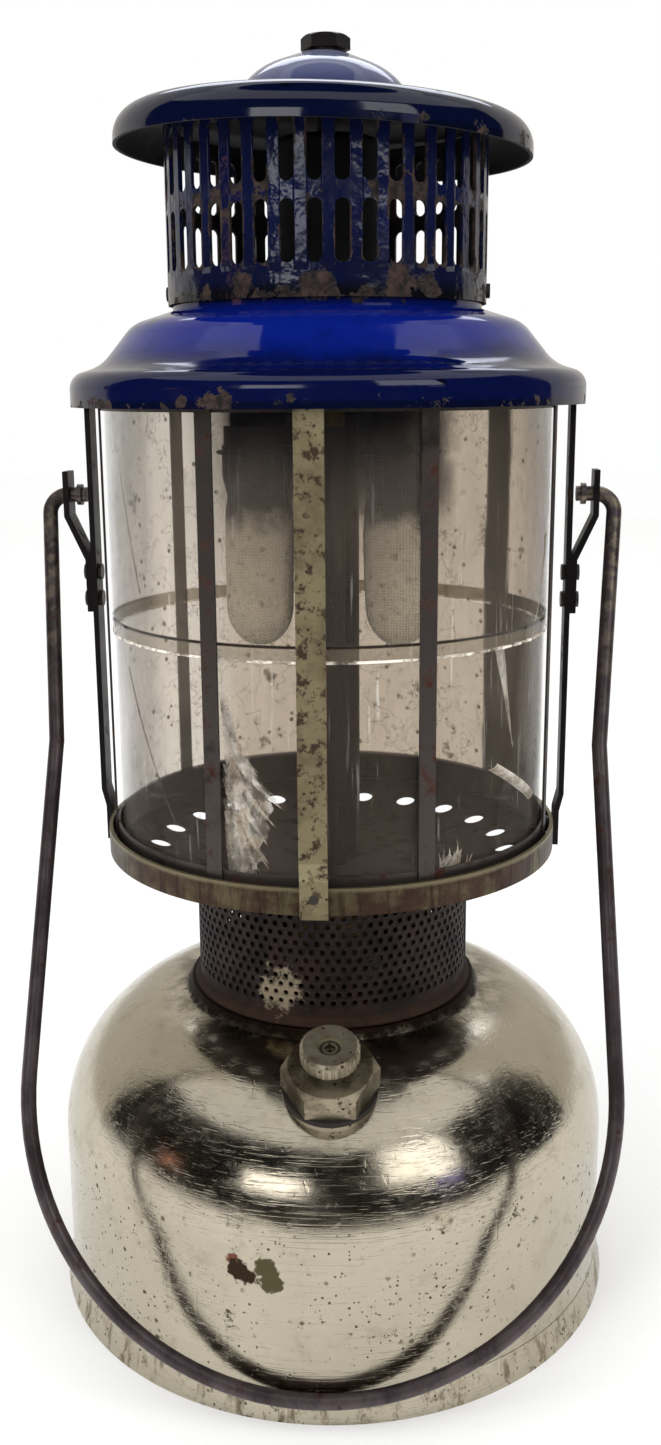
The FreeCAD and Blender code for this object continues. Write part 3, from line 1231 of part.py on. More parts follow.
def ventilator_drum():
    """The drum with its two rows of slots."""
    tube = new_body("drum_tube")
    inner = "drum_radius - drum_metal"
    lathe(tube, (inner, DRUM_FOOT), ("drum_radius", DRUM_FOOT),
          ("drum_radius", DRUM_TOP), (inner, DRUM_TOP))
    drum_rivet_holes(tube)
    rows = [slot_tool(f"{DRUM_FOOT} + slot_start"),
            slot_tool(f"{DRUM_FOOT} + slot_start + slot_height + slot_band")]
    count = round(value("slot_count"))
    cutters = []
    for number in range(count):
        for row in rows:
            cutter = row.copy()
            cutter.rotate(Vector(), Vector(0, 0, 1), 360 * number / count)
            cutters.append(cutter)
    tools = doc.addObject("Part::Feature", "slot_cutters")
    tools.Shape = Part.makeCompound(cutters)
    drum = doc.addObject("Part::Cut", "ventilator_drum")
    drum.Label = "ventilator_drum"
    drum.Base = tube
    drum.Tool = tools
    pieces.append(drum)
    doc.recompute()


def drum_rivets():
    """The two rivets that hold the drum on the hood's throat."""
    body = new_piece("drum_rivets")
    level = f"{DRUM_FOOT} + drum_rivet_level"
    on_both_sides(body, "Additive", "drum_rivet", f"drum_radius - {THROAT} + hood_metal",
                  f"{THROAT} - hood_metal", level)
    on_both_sides(body, "Additive", "drum_rivet_head", "head_height", "drum_radius", level)


def vent_cap():
    """The brimmed cap, sitting a little askew on the drum."""
    body = new_piece("vent_cap")
    revolve(body, rounded_sheet(body, "cap_metal", [
        ("cap_radius", "0"),
        ("cap_radius", "cap_skirt", "cap_round"),
        ("brim_inner", "cap_skirt + brim_rise", "cap_hollow"),
        ("cap_shoulder", "cap_skirt + brim_rise + shoulder_rise", "cap_crown"),
        ("cap_top", CAP_HEIGHT),
        ("0", CAP_HEIGHT),
    ]))
    cylinder(body, "Subtractive", "stud_radius + stud_clearance", f"2 * {CAP_HEIGHT}")
    tilt = Rotation(Vector(0, 1, 0), value("cap_tilt"))
    hub = Vector(0, 0, value(CAP_HEIGHT))
    foot = Vector(0, 0, value(CAP_EDGE))
    body.Placement = Placement(foot + hub - tilt.multVec(hub), tilt)


def cap_nut():
    """The closed hexagon nut on the stud, and its washer."""
    washer = new_piece("cap_washer")
    lathe(washer,
          ("stud_radius + running_fit", "0"), ("washer_radius", "0"),
          ("washer_radius", "washer_height"), ("stud_radius + running_fit", "washer_height"))
    put(washer, "0", "0", WASHER_FOOT)
    nut = new_piece("cap_nut")
    hexagon(nut, "nut_flats", "nut_height")
    chamfer_hexagon(nut, "nut_flats", "nut_height")
    cylinder(nut, "Subtractive", "stud_radius + running_fit",
             "nut_height - nut_cover + cut_over", z="-cut_over")
    put(nut, "0", "0", NUT_FOOT)


# Assembly -----------------------------------------------------------------

def build():
    """Make every piece."""
    fount_bottom()
    fount_shell()
    tank_bushing()
    filler_pieces()
    pickup()
    valve_body()
    valve_controls()
    perforated_collar()
    burner_tray()
    guard_ring()
    ring_rivets()
    for label, turn in (("upright_front", -90), ("upright_back", 90)):
        upright(label, turn, False)
    for side, turn in (("right", 0), ("left", 180)):
        upright(f"upright_{side}", turn, True)
        bail_ear(f"bail_ear_{side}", turn)
    ear_rivets()
    bail()
    globe_cage()
    mica_sheets()
    generator()
    air_tube()
    burner_manifold()
    burner_caps()
    mantles()
    mixing_chamber()
    hood()
    ventilator_drum()
    drum_rivets()
    vent_cap()
    cap_nut()


def check():
    """Stop if any object failed or any piece is empty or invalid."""
    doc.recompute()
    failed = [f"{part.Label} in {[group.Label for group in part.InList]}"
              for part in doc.Objects if {"Invalid", "Error"} & set(part.State)]
    if failed:
        raise RuntimeError("failed to build: " + ", ".join(failed))
    for body in pieces:
        if body.Shape.isNull() or not body.Shape.isValid() or not body.Shape.Solids:
            raise RuntimeError("no valid solid in " + body.Label)


def write():
    """Write each piece to its own STEP file."""
    os.makedirs("parts", exist_ok=True)
    for body in pieces:
        body.Shape.exportStep(os.path.join("parts", body.Label + ".step"))


build()
check()
write()
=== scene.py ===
import math

import bpy
import numpy as np
from mathutils import Matrix, Vector


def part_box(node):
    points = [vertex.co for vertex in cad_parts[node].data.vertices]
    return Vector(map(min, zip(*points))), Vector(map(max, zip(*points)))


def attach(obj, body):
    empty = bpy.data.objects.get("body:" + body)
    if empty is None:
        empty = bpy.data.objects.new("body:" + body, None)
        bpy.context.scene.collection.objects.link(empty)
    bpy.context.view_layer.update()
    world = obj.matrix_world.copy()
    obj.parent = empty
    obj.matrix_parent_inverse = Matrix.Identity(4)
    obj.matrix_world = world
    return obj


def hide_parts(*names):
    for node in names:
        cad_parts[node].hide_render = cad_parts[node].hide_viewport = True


# Looks of the pressure lantern: camera, light, floor, materials and the pieces
# whose detail is too fine for the solids. Metres, in the frame of the model.

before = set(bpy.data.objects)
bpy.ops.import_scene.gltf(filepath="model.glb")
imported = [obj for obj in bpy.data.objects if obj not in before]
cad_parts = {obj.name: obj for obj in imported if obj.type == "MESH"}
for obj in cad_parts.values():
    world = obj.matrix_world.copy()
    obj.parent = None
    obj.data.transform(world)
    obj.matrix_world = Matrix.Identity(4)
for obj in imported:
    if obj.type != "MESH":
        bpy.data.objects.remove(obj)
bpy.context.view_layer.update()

COLLAR_RADIUS = 0.0392
GLOBE_RADIUS = 0.0607

# Points that a skin changes round.
FOUNT_SEAT = (0, 0, 0.0905)
UNDER_COLLAR = (0, 0, 0.078)
KNOB_TOP = (0.00390, -0.06763, 0.09960)
COLLAR_SCALE = (-0.0118, -0.0375, 0.1005)

# Bands of height, of X or Y, or of reach from a point: where a change begins and is full.
GRIME_HEIGHT = (0.012, 0.004)
PITS_HEIGHT = (0.060, 0.050)
STAIN_REACH = (0.060, 0.040)
SEAT_SHADOW_REACH = (0.0485, 0.0462)
BORE_REACH = (0.0013, 0.0010)
COLLAR_RUST_HEIGHT = (0.1010, 0.0965)
SCALE_REACH = (0.0130, 0.0010)
RING_EDGE_HEIGHT = (0.1392, 0.1402)
RUBBED_HEIGHT = (0.160, 0.225)
MANTLE_DARK_HEIGHT = (0.2275, 0.2370)
MICA_FOOT_HEIGHT = (0.1432, 0.1424)
MICA_BACK_Y = (-0.006, 0.042)
MICA_PAINTED_HIGHLIGHT_X = (-0.028, -0.046)
MICA_DIM_X = (0.0462, 0.0472)
SMOKE_HEIGHT = (0.2140, 0.2640)
SMOKE_ASIDE = (0.041, 0.026)
DENSE_SMOKE_HEIGHT = (0.222, 0.240)
DENSE_SMOKE_ASIDE = (0.044, 0.034)
CAP_DUST_AND_SHEEN_HEIGHT = (0.3285, 0.3415)

# The two mica sheets lap between these heights.
SEAM_LOW = 0.1955
SEAM_HIGH = 0.1997

# The lower and upper rim of each enamelled pressing; the cap has no upper one.
HOOD_RIMS = (0.2555, 0.282)
DRUM_RIMS = (0.2813, 0.3262)
CAP_RIMS = (0.3175, 0.420)

# The drum's slots stand in two rows, one above and one below this height.
SLOTS_MIDDLE = 0.3058
SLOT_ROWS_REACH = (0.0185, 0.0165)
SLOT_COUNT = 40

# Bare spots of the plate: their tone, then a point, a radius and the edge's grain for each.
PLATE_SPOTS = [
    ("#8f604e", [((-0.0208, -0.0773, 0.0447), 0.0016, 0.0014),
                 ((-0.0604, -0.0526, 0.0620), 0.0017, 0.0012)]),
    ("#44362a", [((-0.0196, -0.0777, 0.0420), 0.0028, 0.0022),
                 ((-0.0165, -0.0784, 0.0402), 0.0022, 0.0018)]),
    ("#686146", [((-0.0118, -0.0792, 0.0433), 0.0030, 0.0024),
                 ((-0.0108, -0.0793, 0.0395), 0.0032, 0.0022)]),
]

# Places where the enamel is off: a point and a radius for each, and one grain of edge.
SCAR_GRAIN = 0.0034
HOOD_SCARS = [((-0.0172, -0.0730, 0.2591), 0.0026), ((-0.0108, -0.0742, 0.2598), 0.0029),
              ((-0.0052, -0.0748, 0.2600), 0.0024), ((-0.0405, -0.0630, 0.2568), 0.0026),
              ((-0.0340, -0.0668, 0.2572), 0.0021)]
DRUM_SCARS = [((0.0005, -0.0423, 0.2840), 0.0036), ((-0.0180, -0.0383, 0.2845), 0.0028),
              ((0.0200, -0.0373, 0.2862), 0.0030)]


# Materials ------------------------

# Places of the factor, the two sources and the result among a Mix node's sockets.
MIX_SOCKETS = {"RGBA": (0, 6, 7, 2), "FLOAT": (0, 2, 3, 0)}


def rgb(text):
    """A colour written as #rrggbb, in linear light."""
    parts = [int(text[at:at + 2], 16) / 255 for at in (1, 3, 5)]
    return tuple(part / 12.92 if part <= 0.04045 else ((part + 0.055) / 1.055) ** 2.4
                 for part in parts) + (1.0,)


class Skin:
    """A Principled material and the small node networks that feed it."""

    def __init__(self, name, **constants):
        self.material = bpy.data.materials.new(name)
        self.material.use_nodes = True
        self.tree = self.material.node_tree
        self.shader = self.tree.nodes["Principled BSDF"]
        for socket, number in constants.items():
            self.shader.inputs[socket.replace("_", " ")].default_value = number
        self.place = self.node("ShaderNodeTexCoord").outputs["Object"]

    def node(self, kind, inputs=None, **settings):
        """A new node, with its settings made and its inputs fed."""
        made = self.tree.nodes.new(kind)
        for setting, choice in settings.items():
            setattr(made, setting, choice)
        for socket, source in (inputs or {}).items():
            self.feed(made.inputs[socket], source)
        return made

    def feed(self, socket, source):
        """Link a socket, or set its number or its #rrggbb colour."""
        if isinstance(source, bpy.types.NodeSocket):
            self.tree.links.new(source, socket)
        else:
            socket.default_value = rgb(source) if isinstance(source, str) else source

    def at(self, stretch=(1, 1, 1), shift=(0, 0, 0)):
        """The place on the object, stretched for streaks."""
        return self.node("ShaderNodeMapping", {
            "Vector": self.place, "Scale": stretch, "Location": shift}).outputs["Vector"]

    def noise(self, size, detail=3.0, rough=0.55, stretch=(1, 1, 1), shift=(0, 0, 0)):
        """Clouds whose features are about size metres wide, from 0 to 1."""
        return self.node("ShaderNodeTexNoise", {
            "Vector": self.at(stretch, shift), "Scale": 1 / size, "Detail": detail,
            "Roughness": rough}).outputs["Fac"]

    def cells(self, size, shift, output):
        """Cells about size metres apart: the distance to a centre, or a chance colour."""
        return self.node("ShaderNodeTexVoronoi", {
            "Vector": self.at(shift=shift), "Scale": 1 / size}).outputs[output]

    def axis(self, name):
        """One coordinate of the place on the object."""
        return self.node("ShaderNodeSeparateXYZ", {"Vector": self.place}).outputs[name]

    def height(self):
        """The height above the table, in metres."""
        return self.axis("Z")

    def vector(self, operation, first, second=(0, 0, 0)):
        """A vector node that works on one or two vectors."""
        return self.node("ShaderNodeVectorMath", {0: first, 1: second},
                         operation=operation).outputs

    def reach(self, point):
        """The distance in metres to a point."""
        return self.vector("DISTANCE", self.place, point)["Value"]

    def calc(self, operation, first, second=0.0):
        """One step of arithmetic with one or two numbers."""
        return self.node("ShaderNodeMath", {0: first, 1: second},
                         operation=operation).outputs["Value"]

    def chain(self, operation, sources):
        """One operation taken through several numbers."""
        total = sources[0]
        for source in sources[1:]:
            total = self.calc(operation, total, source)
        return total

    def plus(self, *sources):
        """The sum of several numbers."""
        return self.chain("ADD", sources)

    def times(self, *sources):
        """The product of several numbers."""
        return self.chain("MULTIPLY", sources)

    def most(self, *sources):
        """The largest of several numbers."""
        return self.chain("MAXIMUM", sources)

    def less(self, first, second):
        """The difference of two numbers."""
        return self.calc("SUBTRACT", first, second)

    def mask(self, source, low, high):
        """0 below low, 1 above high, smooth between; turned round if low > high."""
        if low > high:
            return self.less(1.0, self.mask(source, high, low))
        return self.node("ShaderNodeMapRange", {
            "Value": source, "From Min": low, "From Max": high},
            interpolation_type="SMOOTHSTEP").outputs["Result"]

    def near_line(self, source, middle, reach):
        """1 where a number is close to middle, 0 further off than reach."""
        away = self.calc("ABSOLUTE", self.less(source, middle))
        return self.mask(away, reach, reach * 0.5)

    def off_planes(self, count):
        """The distance to the nearest of count radial planes, 0.5 halfway between two."""
        turn = self.calc("ARCTAN2", self.axis("Y"), self.axis("X"))
        share = self.calc("FRACT", self.plus(self.times(turn, count / math.tau),
                                             count + 0.5))
        return self.calc("ABSOLUTE", self.less(share, 0.5))

    def inside(self):
        """1 on the surfaces that face inwards or down, 0 on those that face out."""
        flat = self.vector("MULTIPLY", self.place, (1, 1, 0))["Vector"]
        outwards = self.vector("NORMALIZE", flat)["Vector"]
        outwards = self.vector("ADD", outwards, (0, 0, 1))["Vector"]
        normal = self.node("ShaderNodeNewGeometry").outputs["Normal"]
        facing = self.vector("DOT_PRODUCT", outwards, normal)["Value"]
        return self.mask(facing, -0.05, -0.35)

    def blend(self, kind, share, first, second):
        """A Mix node for colours or for numbers."""
        made = self.node("ShaderNodeMix", data_type=kind)
        *inputs, result = MIX_SOCKETS[kind]
        for socket, source in zip(inputs, (share, first, second)):
            self.feed(made.inputs[socket], source)
        return made.outputs[result]

    def mix(self, share, first, second):
        """The first colour, turning into the second by share."""
        return self.blend("RGBA", share, first, second)

    def vary(self, share, first, second):
        """The first number, turning into the second by share."""
        return self.blend("FLOAT", share, first, second)

    def tint(self, base, share, strength, tone):
        """A colour turned part of the way to a tone: by strength where share is 1."""
        return self.mix(self.times(share, strength), base, tone)

    def set(self, socket, source):
        """Feed one of the shader's sockets."""
        self.feed(self.shader.inputs[socket], source)

    def bump(self, height, depth):
        """Raise the surface by height times depth metres, over earlier bumps."""
        inputs = {"Height": height, "Distance": depth, "Strength": 1.0}
        earlier = self.shader.inputs["Normal"].links
        if earlier:
            inputs["Normal"] = earlier[0].from_socket
        self.set("Normal", self.node("ShaderNodeBump", inputs).outputs["Normal"])


def specks(skin, size, share, shift=(0, 0, 0)):
    """Small round spots in a share of the cells."""
    near = skin.mask(skin.cells(size, shift, "Distance"), 0.30, 0.12)
    chosen = skin.node("ShaderNodeSeparateColor", {
        "Color": skin.cells(size, shift, "Color")}).outputs["Red"]
    return skin.times(near, skin.mask(chosen, share + 0.02, share))


def patch(skin, point, radius, grain):
    """A ragged patch round a point on the surface."""
    ragged = 0.9
    edge = skin.times(skin.noise(grain, 4.0, 0.65), radius * 2 * ragged)
    away = skin.plus(skin.reach(point), edge)
    return skin.mask(away, radius * (1.12 + ragged), radius * (0.88 + ragged))


def plate_pits(skin):
    """Dark pits and blots where the plate is worn, below the fount's shoulder."""
    worn = skin.times(skin.mask(skin.noise(0.028, 4.0, 0.6, shift=(5, 2, 1)), 0.42, 0.54),
                      skin.mask(skin.height(), *PITS_HEIGHT))
    pits = skin.most(specks(skin, 0.0031, 0.16), specks(skin, 0.0017, 0.20, (3, 1, 2)),
                     specks(skin, 0.0011, 0.16, (7, 2, 5)))
    blots = skin.mask(skin.noise(0.0062, 8.0, 0.76, shift=(8, 3, 6)), 0.615, 0.640)
    return skin.most(skin.times(pits, worn), skin.times(blots, worn))


def plate_relief(skin, bare):
    """Slight dents, scratches along and up the plate, and the steps round bare places."""
    skin.bump(skin.noise(0.030, 2.0, 0.4, shift=(2, 7, 0)), 0.0006)
    for turn in (0.6, 2.1, 3.9, 5.3):
        along = skin.noise(0.0024, 2.0, 0.4, (0.05, 1, 1.0 + turn), (turn, 4, turn))
        skin.bump(skin.mask(along, 0.62, 0.70), -0.000014)
    skin.bump(skin.noise(0.0010, 2.0, 0.5, stretch=(1, 1, 6)), 0.000010)
    upright = skin.noise(0.0016, 1.0, 0.3, (1, 1, 0.06), (1, 0, 8))
    skin.bump(skin.mask(upright, 0.68, 0.74), -0.000012)
    skin.bump(skin.less(1.0, bare), 0.00006)


def nickel():
    """Old bright nickel plate: hazy, pitted, tarnished and bare in a few places, with a painted shadow
    ring round the collar's seat.
    """
    skin = Skin("nickel_plate", Metallic=1.0)
    base = skin.mix(skin.noise(0.045, 5.0, 0.6), "#c6beac", "#a59c89")
    cloudy = skin.mask(skin.noise(0.010, 5.0, 0.7, shift=(3, 3, 3)), 0.52, 0.72)
    base = skin.tint(base, cloudy, 0.45, "#8c8069")
    streaks = skin.mask(skin.noise(0.004, 5.0, 0.7, stretch=(1, 1, 0.35)), 0.50, 0.66)
    grime = skin.times(skin.mask(skin.height(), *GRIME_HEIGHT), streaks, 0.75)
    base = skin.mix(grime, base, "#75674f")
    near_collar = skin.mask(skin.reach(UNDER_COLLAR), *STAIN_REACH)
    stain = skin.mask(skin.noise(0.010, 5.0, 0.65), 0.40, 0.62)
    base = skin.mix(skin.times(near_collar, stain), base, "#4d4434")
    pits = plate_pits(skin)
    base = skin.mix(pits, base, skin.mix(skin.noise(0.012, 3.0), "#3f3122", "#77705a"))
    bare = [grime, pits]
    for tone, spots in PLATE_SPOTS:
        bare.append(skin.most(*[patch(skin, *spot) for spot in spots]))
        base = skin.mix(bare[-1], base, tone)
    # Painted shadow: a dark brown, rough ring just outside the collar's seat.
    ring = skin.plus(skin.reach(FOUNT_SEAT), skin.times(skin.noise(0.005, 6.0, 0.75), 0.008))
    seat = skin.mask(ring, *SEAT_SHADOW_REACH)
    base = skin.mix(seat, base, skin.mix(skin.noise(0.003, 4.0), "#1e1511", "#3a2b21"))
    skin.set("Base Color", base)
    haze = skin.mask(skin.noise(0.020, 6.0, 0.7, shift=(9, 0, 0)), 0.35, 0.75)
    scuffed = skin.mask(skin.noise(0.0035, 6.0, 0.8, (0.4, 1, 1), (2, 9, 4)), 0.46, 0.66)
    rough = skin.plus(skin.vary(haze, 0.12, 0.25), skin.times(scuffed, 0.10))
    bare = skin.most(*bare, seat)
    skin.set("Roughness", skin.vary(bare, rough, 0.65))
    plate_relief(skin, bare)
    return skin.material


def dull_nickel(name, plate, under, rust, amount, metallic=0.85, bore=None):
    """Nickel worn to khaki, with brown spots, and with painted shade in and round a bore if it has one.
    """
    skin = Skin(name, Metallic=metallic)
    cloud = skin.noise(0.010, 5.0, 0.65)
    base = skin.mix(skin.mask(cloud, 0.35, 0.65), plate, under)
    rusty = skin.noise(0.0033, 5.0, 0.7, shift=(4, 4, 1))
    spot = skin.most(skin.mask(rusty, amount + 0.12, amount + 0.22),
                     specks(skin, 0.0019, 0.28, (1, 5, 3)))
    base = skin.mix(spot, base, rust)
    if bore:
        # Painted shade: the bore and a ring groove round it turn near black.
        away = skin.reach(bore)
        groove = skin.times(skin.near_line(away, 0.0026, 0.0005), 0.75)
        base = skin.mix(skin.most(skin.mask(away, *BORE_REACH), groove), base, "#1c1611")
    skin.set("Base Color", base)
    skin.set("Roughness", skin.vary(spot, skin.vary(cloud, 0.28, 0.50), 0.75))
    skin.bump(skin.noise(0.0012, 3.0, 0.6), 0.00004)
    skin.bump(spot, -0.00005)
    return skin.material


def striated(name):
    """The ring: brown where the plate is gone, with fine upright tool marks."""
    skin = Skin(name, Metallic=0.75)
    marks = skin.noise(0.0016, 3.0, 0.6, stretch=(1, 1, 0.10))
    cloud = skin.noise(0.014, 5.0, 0.65, shift=(2, 6, 1))
    base = skin.mix(skin.mask(cloud, 0.38, 0.56), "#5e553e", "#412f24")
    base = skin.tint(base, skin.mask(marks, 0.50, 0.68), 0.6, "#2a1b14")
    edge = skin.mask(skin.plus(skin.height(), skin.times(cloud, 0.002)), *RING_EDGE_HEIGHT)
    skin.set("Base Color", skin.tint(base, edge, 0.7, "#857c60"))
    skin.set("Roughness", skin.vary(marks, 0.30, 0.62))
    skin.bump(marks, 0.00006)
    return skin.material


def perforated_steel():
    """The collar: reddish brown, rusty at its foot, with a pale scaled spot."""
    skin = Skin("collar_steel", Specular_IOR_Level=0.25)
    cloud = skin.noise(0.010, 5.0, 0.65)
    base = skin.mix(skin.mask(cloud, 0.35, 0.65), "#2a1a15", "#150d0c")
    level = skin.plus(skin.height(), skin.times(skin.noise(0.006, 5.0, 0.7), 0.009))
    foot = skin.mask(level, *COLLAR_RUST_HEIGHT)
    base = skin.mix(foot, base, skin.mix(skin.noise(0.003, 4.0, 0.7), "#38261a", "#1a120f"))
    near_scale = skin.mask(skin.reach(COLLAR_SCALE), *SCALE_REACH)
    scale = skin.plus(skin.times(near_scale, 0.36), skin.noise(0.0034, 6.0, 0.8))
    skin.set("Base Color", skin.tint(base, skin.mask(scale, 0.69, 0.82), 0.75, "#8c8069"))
    skin.set("Roughness", skin.vary(foot, skin.vary(cloud, 0.55, 0.72), 0.88))
    skin.bump(skin.noise(0.0014, 4.0, 0.65), 0.00006)
    return skin.material


def crack():
    """A dark crack line in a mica sheet."""
    skin = Skin("mica_crack", Roughness=0.6)
    skin.set("Base Color", skin.mix(skin.noise(0.004), "#2e2722", "#5b4c3f"))
    skin.set("Alpha", skin.vary(skin.mask(skin.noise(0.006, 4.0), 0.35, 0.60), 0.85, 0.35))
    return skin.material


def dark_steel(name, tone, rust, amount, metallic=0.75, shine=0.42):
    """Blackened steel with brown rust bloom."""
    skin = Skin(name, Metallic=metallic)
    cloud = skin.noise(0.012, 5.0, 0.6)
    bloom = skin.mask(skin.noise(0.006, 6.0, 0.7, shift=(1, 8, 4)), amount, amount + 0.16)
    base = skin.mix(bloom, tone, rust)
    skin.set("Base Color", skin.mix(skin.mask(cloud, 0.55, 0.8), base, "#0d0b0c"))
    skin.set("Roughness", skin.vary(bloom, skin.vary(cloud, shine - 0.08, shine + 0.12), 0.85))
    skin.bump(skin.noise(0.0022, 4.0, 0.65), 0.00004)
    return skin.material


def sooted(name, tone, rust):
    """Iron or steel that the flame has blackened."""
    return dark_steel(name, tone, rust, 0.54, metallic=0.4, shine=0.7)


def wire():
    """The bail's round bar: purplish brown, rubbed bright near its bends."""
    skin = Skin("bail_wire", Metallic=0.8)
    cloud = skin.noise(0.010, 5.0, 0.65, stretch=(1, 1, 0.5))
    base = skin.mix(skin.mask(cloud, 0.35, 0.7), "#5a5052", "#383032")
    rust = skin.mask(skin.noise(0.005, 6.0, 0.7, shift=(6, 1, 0)), 0.56, 0.70)
    base = skin.mix(rust, base, "#4a2f26")
    rubbed = skin.times(skin.mask(skin.height(), *RUBBED_HEIGHT),
                        skin.mask(skin.noise(0.004, 4.0, 0.6), 0.46, 0.62))
    skin.set("Base Color", skin.tint(base, rubbed, 0.8, "#857a68"))
    skin.set("Roughness", skin.vary(rust, skin.vary(cloud, 0.34, 0.50), 0.8))
    skin.bump(skin.noise(0.0016, 4.0, 0.6), 0.00007)
    return skin.material


def slot_rows(skin):
    """1 at the heights of the drum's two rows of slots."""
    off_middle = skin.calc("ABSOLUTE", skin.less(skin.height(), SLOTS_MIDDLE))
    return skin.mask(off_middle, *SLOT_ROWS_REACH)


def enamel_chips(skin, flakes, edge, chips, scars, slots):
    """Where the enamel is off: by the rims, between the slots if there are any, and at scars."""
    worn = skin.vary(edge, chips + 0.12, chips)
    if slots:
        beside = skin.mask(skin.off_planes(SLOT_COUNT), 0.40, 0.27)
        worn = skin.less(worn, skin.times(beside, slot_rows(skin), 0.135))
    return skin.most(skin.mask(skin.less(flakes, worn), 0.0, 0.012),
                     *[patch(skin, *scar, SCAR_GRAIN) for scar in scars])


def enamel(name, bright, dark, rims, chips, scars=(), dust_and_sheen=None, slots=False):
    """Vitreous enamel over steel, darker and chipped near its rims.

    A lower number for chips means more of them; slots adds wear and lips at the drum's.
    """
    skin = Skin(name, IOR=1.52, Specular_IOR_Level=0.42)
    low, high = rims
    level = skin.height()
    cloud = skin.noise(0.024, 5.0, 0.65)
    # Painted shade: the colour turns dark in patches, by both rims and in a broad band above the lower
    # rim.
    edge = skin.most(skin.mask(level, low + 0.006, low + 0.001),
                     skin.mask(level, high - 0.004, high))
    broad = skin.mask(skin.plus(level, skin.times(cloud, 0.012)), low + 0.024, low + 0.015)
    shade = skin.most(skin.times(skin.mask(cloud, 0.52, 0.74), 0.45), edge,
                      skin.times(broad, 0.30 if slots else 0.88))
    base = skin.tint(skin.mix(shade, bright, dark), specks(skin, 0.006, 0.10), 0.8, "#030308")
    flakes = skin.noise(0.011, 6.0, 0.68, shift=(2, 3, 9))
    chip = enamel_chips(skin, flakes, edge, chips, scars, slots)
    rust = skin.mask(skin.noise(0.0026, 5.0, 0.75), 0.35, 0.62)
    base = skin.mix(chip, base, skin.mix(rust, "#3c2b24", "#15100f"))
    # Painted sheen with dust: a pale lavender-grey layer over the top of the cap, standing in for the
    # light's reflection.
    if dust_and_sheen:
        dust_and_sheen_layer = skin.times(skin.mask(level, *dust_and_sheen), skin.vary(cloud, 0.62, 0.38))
        base = skin.mix(dust_and_sheen_layer, base, "#8a90a6")
    hidden = skin.inside()
    black = skin.mix(skin.mask(flakes, 0.52, 0.66), "#0a090b", "#2a1b17")
    skin.set("Base Color", skin.mix(hidden, base, black))
    haze = skin.mask(skin.noise(0.018, 6.0, 0.7, shift=(7, 7, 0)), 0.40, 0.75)
    gloss = skin.vary(haze, 0.12, 0.34) if slots else skin.vary(haze, 0.05, 0.20)
    skin.set("Roughness", skin.vary(skin.most(chip, hidden), gloss, 0.85))
    if slots:
        lips = skin.mask(skin.off_planes(SLOT_COUNT), 0.22, 0.30)
        skin.bump(skin.times(lips, slot_rows(skin)), 0.00035)
        skin.bump(skin.noise(0.0060, 3.0, 0.5, shift=(4, 2, 3)), 0.00050)
    skin.bump(skin.noise(0.022, 2.0, 0.4, shift=(1, 2, 3)), 0.0003)
    skin.bump(skin.less(1.0, chip), 0.00025)
    skin.bump(skin.times(chip, skin.noise(0.0012, 4.0, 0.7)), 0.00012)
    return skin.material


def mica_tone(skin, seed, cloud, back, dim):
    """The sheet's colour: greyish in front, warmer and paler behind, with a painted highlight towards
    the left and brown painted shade where dim.
    """
    clear = skin.mix(cloud, "#94887a", "#73685c")
    smoked = skin.mix(skin.noise(0.012, 5.0, 0.65, (1, 1, 0.35), (seed, 2, 2)),
                      "#d9cab6", "#b09f8b")
    # Painted highlight: the back sheet turns pale towards the left. Painted shade: brown in the dim band
    # at the right.
    smoked = skin.tint(smoked, skin.mask(skin.axis("X"), *MICA_PAINTED_HIGHLIGHT_X), 0.75, "#f3ebdf")
    smoked = skin.tint(smoked, dim, 0.85, "#3d352f")
    return skin.mix(back, clear, smoked)


def mica_dim(skin, seed, end):
    """An upright band in shadow at the right, from 47 mm beside the axis out to end."""
    drift = skin.times(skin.noise(0.004, 3.0, 0.6, (1, 1, 0.08), (seed, 5, 8)), 0.003)
    side = skin.plus(skin.axis("X"), drift)
    return skin.times(skin.mask(side, *MICA_DIM_X), skin.mask(side, end, end - 0.0012))


def mica_marks(skin, seed):
    """Upright lines, slanting lines, and all the brown stains, dots and veins."""
    lines = skin.mask(skin.noise(0.0014, 2.0, 0.5, (1, 1, 0.04), (seed, 3, 0)), 0.66, 0.74)
    slants = skin.mask(skin.noise(0.0018, 2.0, 0.5, (1, 1, 0.10), (seed, 9, 5)), 0.68, 0.76)
    stain = skin.mask(skin.noise(0.009, 5.0, 0.7, shift=(seed, 1, 1)), 0.60, 0.72)
    dots = specks(skin, 0.0032, 0.25, (seed, 4, 4))
    veins = skin.near_line(skin.noise(0.010, 3.0, 0.6, shift=(seed, 7, 2)), 0.5, 0.006)
    return lines, slants, skin.most(stain, dots, skin.times(veins, 0.5))


def mica_seam(skin, seed, level, back, base, veil):
    """Colour and cover with the lap added: its haze, a painted glint along its lower edge and a painted
    shade line along its upper edge.
    """
    front = skin.less(1.0, back)
    lap = skin.times(skin.near_line(level, (SEAM_LOW + SEAM_HIGH) / 2, 0.0029),
                     skin.vary(back, 1.0, 0.35))
    base = skin.tint(base, lap, 0.7, "#7d725e")
    veil = skin.plus(veil, skin.times(lap, 0.11))
    # Painted glint: broken whitish light along the lap's lower edge. Painted shade: a dark line along
    # its upper edge, on the front half only.
    broken = skin.mask(skin.noise(0.0045, 3.0, 0.6, shift=(seed, 2, 0)), 0.42, 0.60)
    glint = skin.times(skin.near_line(level, SEAM_LOW + 0.0002, 0.00055), broken)
    base = skin.mix(glint, base, "#fff6e8")
    shade = skin.times(skin.near_line(level, SEAM_HIGH - 0.0002, 0.00050), front)
    base = skin.mix(shade, base, "#2f2822")
    edges = skin.most(skin.times(glint, front), skin.times(shade, 0.8))
    return base, skin.vary(edges, veil, 0.85)


